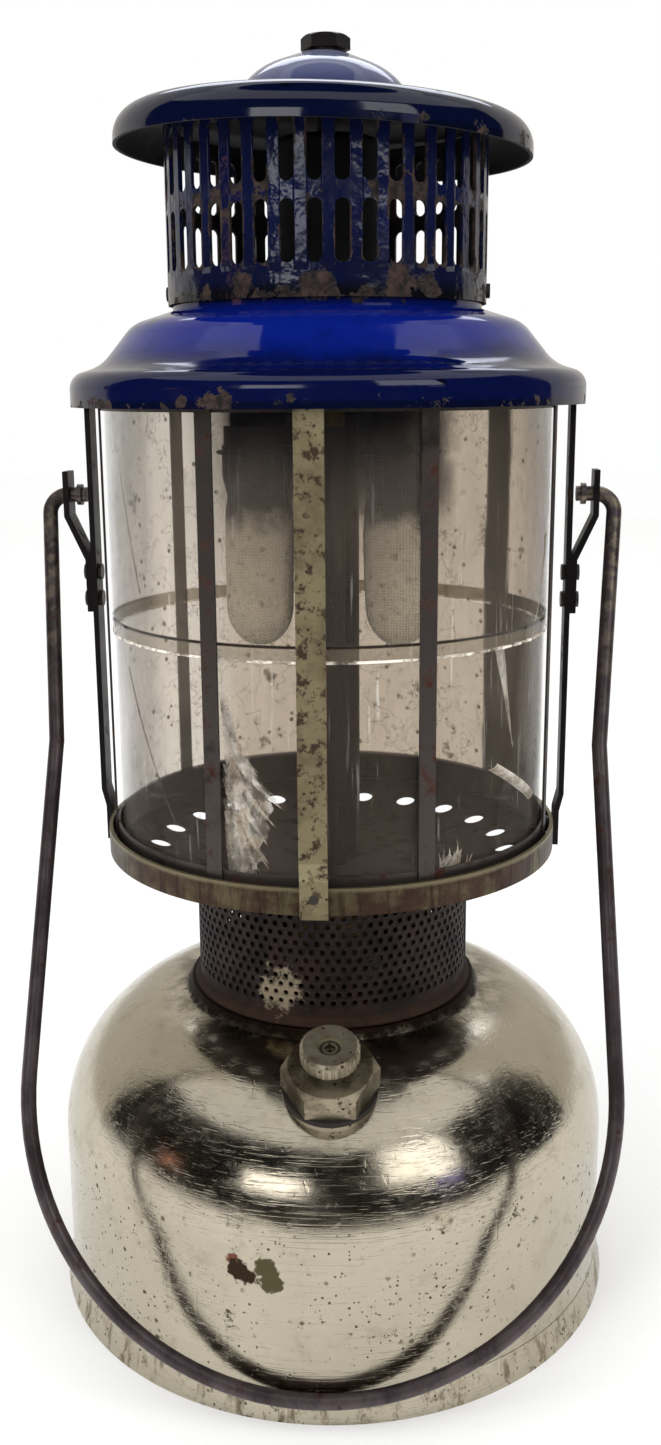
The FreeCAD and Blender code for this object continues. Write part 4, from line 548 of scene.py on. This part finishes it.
def mica_smoke(skin, level, back):
    """Smoke over the middle of the sheet, and the denser smoke at its back."""
    drift = skin.times(skin.noise(0.014, 4.0, 0.6), 0.012)
    aside = skin.plus(skin.calc("ABSOLUTE", skin.axis("X")), drift)
    risen = skin.plus(level, drift)
    smoke = skin.times(skin.mask(risen, *SMOKE_HEIGHT), skin.mask(aside, *SMOKE_ASIDE))
    behind = skin.times(back, skin.mask(aside, *DENSE_SMOKE_ASIDE),
                        skin.mask(risen, *DENSE_SMOKE_HEIGHT))
    return smoke, behind


def mica(name, seed, dim_end):
    """Aged mica: thinly hazed in front, clouded and smoked at the back of the globe."""
    skin = Skin(name, Roughness=0.13, IOR=1.58, Specular_IOR_Level=0.22)
    level = skin.height()
    drift = skin.times(skin.noise(0.016, 5.0, 0.65, (1, 1, 0.5)), 0.020)
    back = skin.mask(skin.plus(skin.axis("Y"), drift), *MICA_BACK_Y)
    cloud = skin.noise(0.030, 5.0, 0.6, shift=(seed, 0, 0))
    dim = mica_dim(skin, seed, dim_end)
    lines, slants, marks = mica_marks(skin, seed)
    base = skin.tint(mica_tone(skin, seed, cloud, back, dim), lines, 0.7, "#efe9df")
    base = skin.tint(base, marks, 0.7, "#5a4839")
    veil = skin.plus(skin.vary(back, skin.vary(cloud, 0.040, 0.085), 1.0),
                     skin.times(skin.most(lines, slants), 0.12), skin.times(marks, 0.10))
    base, veil = mica_seam(skin, seed, level, back, base, veil)
    smoke, behind = mica_smoke(skin, level, back)
    base = skin.mix(skin.most(smoke, behind), base, "#0d0d12")
    foot = skin.times(back, skin.mask(level, *MICA_FOOT_HEIGHT))
    skin.set("Base Color", skin.mix(foot, base, "#4a3f3a"))
    skin.set("Alpha", skin.vary(skin.most(skin.times(smoke, 0.4), behind), veil, 0.93))
    solid = skin.most(skin.times(marks, 0.4), behind, dim)
    skin.set("Transmission Weight", skin.times(back, skin.less(0.90, skin.times(solid, 0.8))))
    skin.bump(skin.noise(0.016, 3.0, 0.5, (1, 1, 0.4), (seed, 0, 4)), 0.0005)
    return skin.material


def mica_edge(name, solid, thin):
    """A whitish scrap of mica, whose cover goes from solid to thin; one such strip is a painted glint.
    """
    skin = Skin(name, Roughness=0.30, IOR=1.58)
    streak = skin.noise(0.0025, 4.0, 0.6, stretch=(1, 1, 0.3))
    skin.set("Base Color", skin.mix(skin.mask(streak, 0.35, 0.65), "#efe8dc", "#b5a48e"))
    skin.set("Alpha", skin.vary(skin.mask(skin.noise(0.004, 4.0, 0.6), 0.38, 0.62), solid, thin))
    skin.bump(streak, 0.00008)
    return skin.material


def mantle_cloth():
    """Burnt mantle: woven, pale below and near black towards its collar."""
    skin = Skin("mantle_cloth", Roughness=0.95, Sheen_Weight=0.15)
    drift = skin.times(skin.noise(0.008, 5.0, 0.65), 0.016)
    # The colour turns near black towards the top, by height.
    soot = skin.mask(skin.plus(skin.height(), drift), *MANTLE_DARK_HEIGHT)
    threads = {"Vector": skin.at(), "Scale": 380.0, "Distortion": 2.0, "Detail": 2.0}
    weave = skin.times(*[skin.node("ShaderNodeTexWave", threads,
                                   bands_direction=way).outputs["Fac"] for way in ("Z", "X")])
    pale = skin.mix(skin.noise(0.007, 5.0, 0.65), "#bfb097", "#857763")
    pale = skin.tint(pale, weave, 0.50, "#c9bfaa")
    thin = skin.mask(skin.noise(0.0035, 4.0, 0.7, shift=(2, 5, 1)), 0.56, 0.68)
    pale = skin.tint(pale, thin, 0.55, "#4c4238")
    skin.set("Base Color", skin.mix(soot, pale, "#0e0d0f"))
    skin.bump(weave, 0.00035)
    skin.bump(skin.noise(0.0025, 3.0, 0.6), 0.0004)
    return skin.material


def air_pipe():
    """The central tube: purplish brown below, near black and bluish above the mica's seam."""
    skin = Skin("air_pipe", Metallic=0.5)
    level = skin.plus(skin.height(), skin.times(skin.noise(0.010), 0.012))
    # The colour turns near black above the mica's seam.
    burnt = skin.mask(level, SEAM_HIGH, SEAM_HIGH + 0.014)
    brown = skin.mix(skin.noise(0.006, 5.0, 0.7), "#36282a", "#1d1618")
    skin.set("Base Color", skin.mix(burnt, brown, "#0b0b11"))
    skin.set("Roughness", skin.vary(skin.noise(0.008, 4.0, 0.6), 0.50, 0.78))
    skin.bump(skin.noise(0.0030, 4.0, 0.6), 0.00005)
    return skin.material


def phenolic():
    """Moulded black knob with a dull skin."""
    skin = Skin("phenolic", IOR=1.6)
    cloud = skin.noise(0.004, 5.0, 0.6)
    skin.set("Base Color", skin.mix(cloud, "#141213", "#2a2422"))
    skin.set("Roughness", skin.vary(cloud, 0.28, 0.50))
    skin.bump(skin.noise(0.0010, 3.0, 0.6), 0.00003)
    return skin.material


def gasket():
    """Hardened rubber, cracked at its edge."""
    skin = Skin("gasket_rubber", Roughness=0.85)
    cloud = skin.noise(0.003, 5.0, 0.65)
    skin.set("Base Color", skin.mix(cloud, "#2b231d", "#14100e"))
    skin.bump(cloud, 0.0002)
    return skin.material


def plain_floor():
    """Pale matt floor."""
    skin = Skin("floor", Roughness=0.9)
    skin.set("Base Color", skin.mix(skin.noise(0.4, 2.0), "#ffffff", "#fbfbfa"))
    return skin.material


SKINS = {
    "nickel": nickel(),
    "fitting": dull_nickel("fitting_nickel", "#a09680", "#574b38", "#3b2d1e", 0.46),
    "knob": dull_nickel("knob_nickel", "#aaa18c", "#7a705c", "#4b3c2a", 0.50, bore=KNOB_TOP),
    "khaki": dull_nickel("worn_nickel", "#867d5f", "#6a5f46", "#3d2d1e", 0.39, metallic=0.45),
    "frame": dark_steel("frame_steel", "#211d1f", "#38271f", 0.56),
    "cage": dark_steel("cage_steel", "#4b4541", "#553024", 0.53, shine=0.38),
    "tray": dark_steel("tray_steel", "#322728", "#1c1516", 0.50, metallic=0.4, shine=0.6),
    "ring": striated("ring_nickel"),
    "collar": perforated_steel(),
    "crack": crack(),
    "rivet": dark_steel("rivet_steel", "#4a4640", "#3f2c22", 0.52),
    "wire": wire(),
    "hood": enamel("hood_enamel", "#06186e", "#04081f", HOOD_RIMS, 0.575, scars=HOOD_SCARS),
    "cap": enamel("cap_enamel", "#06124c", "#040716", CAP_RIMS, 0.565, dust_and_sheen=CAP_DUST_AND_SHEEN_HEIGHT),
    "drum": enamel("drum_enamel", "#0a1030", "#08090e", DRUM_RIMS, 0.520, scars=DRUM_SCARS,
                   slots=True),
    "mica_low": mica("mica_lower", 1.0, 0.0640),
    "mica_high": mica("mica_upper", 6.0, 0.0535),
    "flake": mica_edge("mica_flake", 0.60, 0.14),
    "sliver": mica_edge("mica_sliver", 0.60, 0.34),
    "ribbon": mica_edge("mica_ribbon", 0.95, 0.75),
    "cloth": mantle_cloth(),
    "soot": sooted("sooted_iron", "#0f0e10", "#1d1614"),
    "generator": sooted("generator_steel", "#2a2220", "#3c2d22"),
    "pipe": air_pipe(),
    "brass": dull_nickel("dull_brass", "#9a8150", "#5e4b2c", "#33261a", 0.50),
    "phenolic": phenolic(),
    "gasket": gasket(),
    "floor": plain_floor(),
}

NODE_SKINS = {
    "nickel": ["fount_bottom", "fount_shell"],
    "fitting": ["tank_bushing", "filler_boss", "filler_plug"],
    "knob": ["air_screw"],
    "khaki": ["upright_front"],
    "ring": ["guard_ring"],
    "frame": ["upright_back", "upright_right", "upright_left", "bail_ear_right",
              "bail_ear_left", "cap_washer", "cap_nut"],
    "cage": ["globe_foot_band", "globe_top_band", "globe_strips"],
    "tray": ["burner_tray"],
    "collar": ["perforated_collar"],
    "rivet": ["ring_rivets", "ear_rivets", "drum_rivets", "valve_stem", "wheel_screw",
              "centre_stud"],
    "wire": ["bail"],
    "hood": ["hood"],
    "cap": ["vent_cap"],
    "drum": ["ventilator_drum"],
    "mica_low": ["lower_mica"],
    "mica_high": ["upper_mica"],
    "cloth": ["mantle_left", "mantle_right"],
    "soot": ["burner_manifold", "burner_cap_left", "burner_cap_right", "mixing_chamber",
             "mantle_tie_left", "mantle_tie_right"],
    "generator": ["generator_tube"],
    "pipe": ["air_tube"],
    "brass": ["pickup_strainer", "pickup_tube", "valve_body", "packing_nut",
              "generator_nut", "gas_tip"],
    "phenolic": ["valve_wheel"],
    "gasket": ["filler_gasket"],
}


def dress():
    """Give every node its material."""
    for skin, names in NODE_SKINS.items():
        for name in names:
            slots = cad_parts[name].data.materials
            slots.clear()
            slots.append(SKINS[skin])


# Pieces ------------------------

def add(name, data):
    """A new object in the scene."""
    made = bpy.data.objects.new(name, data)
    bpy.context.scene.collection.objects.link(made)
    return made


def add_mesh(name, points, faces, material):
    """A new mesh in the scene."""
    mesh = bpy.data.meshes.new(name)
    mesh.from_pydata(points, [], faces)
    mesh.validate()
    mesh.materials.append(material)
    return add(name, mesh)


def piece(name, points, faces, skin, body, smooth=True):
    """A mesh that rides on a body."""
    made = add_mesh(name, points, faces, SKINS[skin])
    made.data.polygons.foreach_set("use_smooth", [smooth] * len(made.data.polygons))
    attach(made, body)
    return made


def around_axis(radius, angle, level):
    """A point on a cylinder round Z; angle 0 is the front, growing towards +X."""
    return (radius * math.sin(angle), -radius * math.cos(angle), level)


def quads(lines, length, loop=False, rings=False, turned=False):
    """Faces between lines of points, each line length points long.

    loop joins the last line to the first, rings closes each line, turned reverses the faces.
    """
    faces = []
    for line in range(lines if loop else lines - 1):
        near, far = line * length, (line + 1) % lines * length
        for at in range(length if rings else length - 1):
            after = (at + 1) % length
            if turned:
                faces.append((near + at, near + after, far + after, far + at))
            else:
                faces.append((near + at, far + at, far + after, near + after))
    return faces


def shifted(faces, shift):
    """Faces whose points stand shift places further down the list."""
    return [tuple(at + shift for at in face) for face in faces]


# The collar's holes stand in staggered rows, one hole in the middle of each cell.
HOLE_COUNT = 84
HOLE_ROWS = 12
HOLE_RADIUS = 0.00072
HOLE_SIDES = 12
HOLE_PITCH = math.tau / HOLE_COUNT
ROW_PITCH = 0.00245
FIRST_ROW = 0.0976
COLLAR_FOOT = 0.09105
COLLAR_TOP = 0.1260
COLLAR_METAL = 0.0006
LIP_HEIGHT = 0.0024
LAP_START, LAP_STEP = 86, 1.5
LAP_PROUD = 0.00035

# The valve's stem comes out at the back, through a hole with an eyelet.
STEM_ANGLE = math.pi
STEM_LEVEL = 0.1030
STEM_HOLE = 0.0058
STEM_MARGIN = 0.0022
STEM_OVERLAP = 0.0008
EYELET_PROFILE = ((0.0054, -0.0008), (0.0056, 0.0006), (0.0066, 0.0008),
                  (0.0092, 0.0005), (0.0094, 0.0001))


class CollarSide:
    """The outer or inner side of the collar's sheet, as points, faces and rims of holes."""

    def __init__(self, radius, outwards):
        self.radius = radius
        self.outwards = outwards
        self.points, self.faces, self.rims, self.index = [], [], [], {}
        for row in range(HOLE_ROWS):
            for number in range(HOLE_COUNT):
                self.cell((number + 0.5 * (row % 2)) * HOLE_PITCH, FIRST_ROW + row * ROW_PITCH)
        self.band(COLLAR_FOOT, FIRST_ROW - ROW_PITCH / 2)
        self.band(FIRST_ROW + (HOLE_ROWS - 0.5) * ROW_PITCH, COLLAR_TOP)

    def point(self, angle, level):
        """The number of a point, which neighbouring cells share."""
        key = (round(angle * self.radius * 1e7) % round(math.tau * self.radius * 1e7),
               round(level * 1e7))
        if key not in self.index:
            self.index[key] = len(self.points)
            self.points.append(around_axis(self.radius, angle, level))
        return self.index[key]

    def face(self, *corners):
        """A face that looks away from the sheet."""
        self.faces.append(corners if self.outwards else tuple(reversed(corners)))

    def cell(self, centre, level):
        """A cell with its hole; it is plain beside the stem's hole and left out inside."""
        left, right = centre - HOLE_PITCH / 2, centre + HOLE_PITCH / 2
        low, high = level - ROW_PITCH / 2, level + ROW_PITCH / 2
        outline = [(left, low), (centre, low), (right, low),
                   (right, high), (centre, high), (left, high)]
        away = math.hypot((centre - STEM_ANGLE) * self.radius, level - STEM_LEVEL)
        if away < STEM_HOLE + STEM_MARGIN:
            if away > STEM_HOLE - STEM_OVERLAP:
                self.face(*[self.point(*corner) for corner in outline])
            return
        rim = []
        for step in range(HOLE_SIDES):
            turn = math.tau * step / HOLE_SIDES - math.pi * 5 / 6
            rim.append(self.point(centre + HOLE_RADIUS * math.cos(turn) / self.radius,
                                  level + HOLE_RADIUS * math.sin(turn)))
        self.rims.append(rim)
        corners = [self.point(*corner) for corner in outline]
        for side, corner in enumerate(corners):
            following = corners[(side + 1) % len(corners)]
            near, middle, far = [rim[(2 * side + step) % HOLE_SIDES] for step in range(3)]
            self.face(corner, following, middle)
            self.face(corner, middle, near)
            self.face(following, far, middle)

    def band(self, low, high):
        """A plain band below or above the field of holes."""
        for number in range(2 * HOLE_COUNT):
            start, end = number * HOLE_PITCH / 2, (number + 1) * HOLE_PITCH / 2
            self.face(self.point(start, low), self.point(end, low),
                      self.point(end, high), self.point(start, high))


def collar_field():
    """The collar with its field of small staggered holes."""
    outer = CollarSide(COLLAR_RADIUS, True)
    inner = CollarSide(COLLAR_RADIUS - COLLAR_METAL, False)
    shift = len(outer.points)
    faces = outer.faces + shifted(inner.faces, shift)
    for outside, inside in zip(outer.rims, inner.rims):
        for step in range(HOLE_SIDES):
            following = (step + 1) % HOLE_SIDES
            faces.append((outside[step], inside[step] + shift,
                          inside[following] + shift, outside[following]))
    made = piece("collar_perforated", outer.points + inner.points, faces, "collar", "lantern")
    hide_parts("perforated_collar")


def collar_lip():
    """The collar's turned-out foot: a closed outline carried round the axis."""
    outline = [(0.0001, LIP_HEIGHT), (0.0008, 0.0016), (0.0014, 0.0004), (0.0014, 0.0),
               (-0.0006, 0.0), (-0.0006, LIP_HEIGHT)]
    steps = 128
    points = [around_axis(COLLAR_RADIUS + out, math.tau * step / steps, COLLAR_FOOT + up)
              for step in range(steps) for out, up in outline]
    faces = quads(steps, len(outline), loop=True, rings=True, turned=True)
    piece("collar_lip", points, faces, "collar", "lantern", smooth=False)


def collar_lap():
    """The proud strip at the right where the collar's sheet laps over itself."""
    columns, rows = 7, 12
    points = []
    for column in range(columns):
        angle = math.radians(LAP_START + LAP_STEP * column)
        proud = LAP_PROUD * math.sin(math.pi * (column + 0.4) / (columns + 0.2))
        for level in np.linspace(COLLAR_FOOT + LIP_HEIGHT, COLLAR_TOP - 0.0002, rows):
            points.append(around_axis(COLLAR_RADIUS + 0.0001 + proud, angle, level))
    piece("collar_lap", points, quads(columns, rows), "collar", "lantern")


def collar_eyelet():
    """The raised eyelet round the stem's hole."""
    steps = 48
    points = []
    for step in range(steps):
        turn = math.tau * step / steps
        for reach, proud in EYELET_PROFILE:
            angle = STEM_ANGLE + reach * math.cos(turn) / COLLAR_RADIUS
            level = STEM_LEVEL + reach * math.sin(turn)
            points.append(around_axis(COLLAR_RADIUS + proud, angle, level))
    faces = quads(steps, len(EYELET_PROFILE), loop=True)
    piece("collar_eyelet", points, faces, "collar", "lantern")


# A mantle's width from its neck (0) to its foot (1), as a share of the full width, and how
# far pleats, sway and creases move it in or out, in the same measure.
SOCK_SHARES = (0, 0.16, 0.20, 0.25, 0.32, 0.45, 0.80, 1)
SOCK_WIDTHS = (0.97, 1.0, 0.95, 0.885, 0.97, 1.0, 0.965, 0.95)
SOCK_ROWS = 90
SOCK_COLUMNS = 96
SOCK_SEED = 11
SOCK_GAP = 0.0002
FOOT_START, FOOT_LENGTH = 0.79, 0.21
NECK_LENGTH = 0.35
PLEATS = 16
NECK_PLEAT, FOOT_PLEAT = 0.030, 0.045
SWAY, CREASE, MEAN_WIDTH = 0.018, 0.014, 0.96


def mantle(side, name, node):
    """A burnt sock, gathered under its tie and pinched towards its foot."""
    low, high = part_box(node)
    centre = (low + high) / 2
    radius = (high.x - low.x) / 2
    length = high.z - low.z
    rng = np.random.default_rng(SOCK_SEED + side)
    folds = rng.uniform(0, math.tau, 3)
    points = []
    for row in range(SOCK_ROWS + 1):
        share = row / SOCK_ROWS
        level = high.z - SOCK_GAP - share * (length - 2 * SOCK_GAP)
        foot = max(0.0, (share - FOOT_START) / FOOT_LENGTH)
        belly = np.interp(share, SOCK_SHARES, SOCK_WIDTHS) * math.sqrt(max(1 - foot ** 2.0, 0.0))
        pleat = NECK_PLEAT * max(0, 1 - share / NECK_LENGTH) + FOOT_PLEAT * foot
        for column in range(SOCK_COLUMNS):
            turn = math.tau * column / SOCK_COLUMNS
            ripple = pleat * math.sin(PLEATS * turn + folds[0])
            sway = SWAY * math.sin(2 * turn + folds[1] + 3 * share) * math.sin(math.pi * share)
            crease = CREASE * math.sin(5 * turn + folds[2] - 7 * share)
            reach = radius * min(belly * (MEAN_WIDTH + ripple + sway + crease), 1.0)
            points.append((centre.x + reach * math.cos(turn),
                           centre.y + reach * math.sin(turn), level))
    faces = quads(SOCK_ROWS + 1, SOCK_COLUMNS, rings=True)
    faces.append(tuple(range(SOCK_ROWS * SOCK_COLUMNS, len(points))))
    made = piece(name, points, faces, "cloth", "lantern")
    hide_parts(node)


# Scraps lie inside the globe. RAGGED_TURN is in radians for a metre of raggedness.
SCRAP_RADIUS = GLOBE_RADIUS - 0.0022
SCRAP_STEPS = 16
RAGGED_TURN = 12
SLIVER_STEPS = 10
SLIVER_COPIES = 3
SLIVER_SAG = 0.0016
TIP_SCATTER = (0.9, 0.0012)


def scrap(name, corners, curl, seed, skin, jag=0.0, radius=SCRAP_RADIUS):
    """A scrap of mica on the globe, between corner angles (degrees) and levels."""
    rng = np.random.default_rng(seed)
    ragged = rng.uniform(-1, 1, (4, SCRAP_STEPS + 1)) * jag
    (low_left, low_right, high_right, high_left) = [np.array(corner, float) for corner in corners]
    points = []
    for row in range(SCRAP_STEPS + 1):
        up = row / SCRAP_STEPS
        for column in range(SCRAP_STEPS + 1):
            along = column / SCRAP_STEPS
            low = low_left + (low_right - low_left) * along + (0, ragged[0][column])
            high = high_left + (high_right - high_left) * along + (0, ragged[1][column])
            angle, level = low + (high - low) * up
            edge = ragged[2][row] * (1 - along) + ragged[3][row] * along
            lift = curl * along ** 2 * (0.4 + 0.6 * up)
            points.append(around_axis(radius - lift, math.radians(angle) + edge * RAGGED_TURN,
                                      level))
    faces = quads(SCRAP_STEPS + 1, SCRAP_STEPS + 1, turned=True)
    piece(name, points, faces, skin, "globe")


def feather(name, start, end, tips, width, curl, seed):
    """Tapering slivers that fan out from a line of roots to their tips."""
    rng = np.random.default_rng(seed)
    points, faces = [], []
    for number, tip in enumerate(tips):
        for copy in range(SLIVER_COPIES):
            share = (number + 0.3 * copy) / len(tips)
            root = np.array(start) + (np.array(end) - start) * share
            target = np.array(tip) + rng.uniform(-1, 1, 2) * TIP_SCATTER
            spread = width * rng.uniform(0.5, 1.0)
            depth = SCRAP_RADIUS - 0.0003 * copy - 0.00008 * number
            faces += shifted(quads(SLIVER_STEPS + 1, 2, turned=True), len(points))
            for step in range(SLIVER_STEPS + 1):
                along = step / SLIVER_STEPS
                angle, level = root + (target - root) * along
                sag = SLIVER_SAG * math.sin(math.pi * along)
                half = spread / 2 * (1 - along ** 2)
                lift = curl * along ** 2 * (0.3 + 0.35 * copy)
                for side in (-1, 1):
                    points.append(around_axis(depth - lift, math.radians(angle + side * half),
                                              level - sag))
    piece(name, points, faces, "flake", "globe")


def mica_scraps():
    """Cracked and curled scraps, as the old sheets have, and a whitish strip that is a painted glint
    along an edge.
    """
    feather("mica_curl_left", (-22.8, 0.1870), (-22.8, 0.1500),
            [(-20.5, 0.1760), (-18, 0.1700), (-15, 0.1655), (-11.5, 0.1612), (-7.4, 0.1570),
             (-11, 0.1530), (-12.5, 0.1480), (-13, 0.1420), (-15, 0.1392), (-17.5, 0.1378),
             (-20, 0.1372), (-22, 0.1372)], 3.2, 0.0022, 3)
    scrap("mica_flake_left", [(-22.8, 0.1378), (-16.5, 0.1384), (-11.0, 0.1575), (-22.8, 0.1800)],
          0.0010, 21, "flake", 0.0012, SCRAP_RADIUS - 0.0010)
    feather("mica_curl_right", (33, 0.1385), (40, 0.1390),
            [(33, 0.1455), (36, 0.1440), (39, 0.1460), (43, 0.1425)], 2.2, 0.0012, 5)
    scrap("mica_chip_right", [(31, 0.1395), (38, 0.1405), (40, 0.1440), (34, 0.1430)],
          0.0015, 7, "sliver", 0.0006)
    scrap("mica_curve_right", [(78.4, 0.1500), (77.6, 0.1480), (51.5, 0.1626), (51.5, 0.1648)],
          0.0030, 9, "ribbon", 0.0001)
    scrap("mica_blade_right", [(58.8, 0.1680), (59.6, 0.1690), (56, 0.1950), (49.5, 0.1955)],
          0.0015, 11, "sliver", 0.0002)
    # Painted glint: a thin whitish strip along the right sheet's edge.
    scrap("mica_edge_glint_right", [(66, 0.1950), (67.6, 0.1950), (84.6, 0.2215), (83.6, 0.2215)],
          0.0006, 13, "ribbon", 0.0001, SCRAP_RADIUS + 0.0012)
    for name, seed, corners in (
            ("mica_crack_high", 15, [(-52.9, 0.2090), (-52.3, 0.2090), (-63.4, 0.2388), (-64, 0.2388)]),
            ("mica_crack_low", 17, [(-40.3, 0.1500), (-39.6, 0.1500), (-62.6, 0.1880), (-63.2, 0.1880)]),
            ("mica_crack_right", 19, [(75.5, 0.1400), (76.1, 0.1400), (74.2, 0.1940), (73.6, 0.1940)])):
        scrap(name, corners, 0.0002, seed, "crack")


# Stage ------------------------

CAMERA_AZIMUTH = 3.94
CAMERA_PITCH = 13.53
CAMERA_ROLL = -0.423
CAMERA_REACH = 0.3901
CAMERA_HEIGHT = 0.2605
FOCAL_LENGTH = 34.84
SENSOR_HEIGHT = 36
FLOOR_RADIUS = 4
LIGHT_TARGET = (0, 0, 0.20)
WALL_RADIUS = 2.5
WINDOW_RADIUS = 2.35
CEILING_RADIUS, CEILING_LEVEL = 0.70, 2.0
CARD_FLOOR_LEVEL = 0.0012
SHEET_REACH, SHEET_FLARE = 0.27, 0.62

# Cards round the lantern: start and end angle, foot and top, tone, and a window's glow.
WALLS = {
    "card_front": (-104, 114, 0.0, 2.4, "#1d1c1e"),
    "card_left": (-180, -104, 0.0, 4.6, "#d6d2ca"),
    "card_right": (114, 180, 0.0, 4.6, "#d6d2ca"),
}
WINDOWS = {
    "window_back": (150, 210, 1.9, 3.4, "#e4e8f4", 4.0),
    "window_left": (-33, -7, 0.52, 1.02, "#ffffff", 2.6),
    "window_right": (26, 54, 0.75, 2.05, "#ffffff", 1.8),
    "window_side": (-68, -61, 0.34, 0.58, "#c08a78", 1.0),
    "window_low": (45, 54, 0.42, 0.68, "#8f86c8", 0.8),
}


def camera():
    """The photograph's view."""
    data = bpy.data.cameras.new("camera")
    data.sensor_fit = "VERTICAL"
    data.sensor_height = SENSOR_HEIGHT
    data.lens = FOCAL_LENGTH
    data.clip_start = 0.01
    azimuth = math.radians(CAMERA_AZIMUTH)
    place = Vector(around_axis(CAMERA_REACH, azimuth, CAMERA_HEIGHT))
    made = add("camera", data)
    made.matrix_world = (Matrix.Translation(place) @ Matrix.Rotation(azimuth, 4, "Z")
                         @ Matrix.Rotation(math.radians(90 - CAMERA_PITCH), 4, "X")
                         @ Matrix.Rotation(math.radians(CAMERA_ROLL), 4, "Z"))
    bpy.context.scene.camera = made


def area_light(name, place, size, power):
    """A soft box that faces the middle of the lantern."""
    data = bpy.data.lights.new(name, "AREA")
    data.shape = "RECTANGLE"
    data.size, data.size_y = size
    data.energy = power
    made = add(name, data)
    made.location = place
    aim = Vector(LIGHT_TARGET) - Vector(place)
    made.rotation_euler = aim.to_track_quat("-Z", "Y").to_euler()
    made.visible_glossy = False


def disc_floor():
    """A wide round floor."""
    steps = 96
    turns = [math.tau * step / steps for step in range(steps)]
    points = [(FLOOR_RADIUS * math.cos(turn), FLOOR_RADIUS * math.sin(turn), 0) for turn in turns]
    floor = add_mesh("floor", points, [tuple(range(steps))], SKINS["floor"])


def white_world():
    """Plain white surroundings."""
    world = bpy.data.worlds.new("studio")
    world.use_nodes = True
    background = world.node_tree.nodes["Background"]
    background.inputs["Color"].default_value = (1.0, 1.0, 1.0, 1)
    background.inputs["Strength"].default_value = 1.0
    bpy.context.scene.world = world


def wall(radius, start, end, low, high):
    """The outline of an upright band round the axis, between two angles and heights."""
    angles = [math.radians(angle) for angle in np.linspace(start, end, 24)]
    return ([around_axis(radius, angle, low) for angle in angles]
            + [around_axis(radius, angle, high) for angle in reversed(angles)])


def front_floor():
    """The dark floor beyond the pale sheet: nearest straight in front."""
    side = 70
    angles = range(-side, side + 5, 5)
    near = [around_axis(SHEET_REACH + SHEET_FLARE * (abs(angle) / side) ** 1.6, math.radians(angle),
                        CARD_FLOOR_LEVEL) for angle in angles]
    return near + [around_axis(WALL_RADIUS, math.radians(angle), CARD_FLOOR_LEVEL)
                   for angle in reversed(angles)]


def card(name, outline, tone, glow=0.0):
    """A card that only glossy surfaces see; its outline goes out and back again."""
    count = len(outline)
    faces = [(step, step + 1, count - 2 - step, count - 1 - step) for step in range(count // 2 - 1)]
    skin = Skin(name, Roughness=1.0, Specular_IOR_Level=0.0, Emission_Strength=glow)
    shade = skin.mix(skin.noise(0.5), tone, tuple(0.8 * part for part in rgb(tone)[:3]) + (1,))
    skin.set("Base Color", shade)
    skin.set("Emission Color", shade)
    made = add_mesh(name, outline, faces, skin.material)
    for rays in ("camera", "diffuse", "transmission", "shadow"):
        setattr(made, f"visible_{rays}", False)


def cards():
    """Dark and light cards, and glowing windows, for the metal and enamel to mirror."""
    for name, (*band, tone) in WALLS.items():
        card(name, wall(WALL_RADIUS, *band), tone)
    card("card_floor", front_floor(), "#3f3b39")
    card("card_top", [around_axis(CEILING_RADIUS, math.radians(angle), CEILING_LEVEL)
                      for angle in range(0, 360, 10)], "#0b0b10")
    for name, (*band, tone, glow) in WINDOWS.items():
        card(name, wall(WINDOW_RADIUS, *band), tone, glow)


def stage():
    """Pale floor, white surroundings, two soft lights and the cards."""
    disc_floor()
    white_world()
    area_light("key", (-0.9, -0.9, 1.1), (0.7, 0.9), 9)
    area_light("fill", (1.1, -0.7, 0.8), (0.6, 0.9), 5)
    cards()
    bpy.context.scene.view_settings.view_transform = "Standard"


dress()
collar_field()
collar_lip()
collar_lap()
collar_eyelet()
mantle(0, "mantle_sock_left", "mantle_left")
mantle(1, "mantle_sock_right", "mantle_right")
mica_scraps()
camera()
stage()
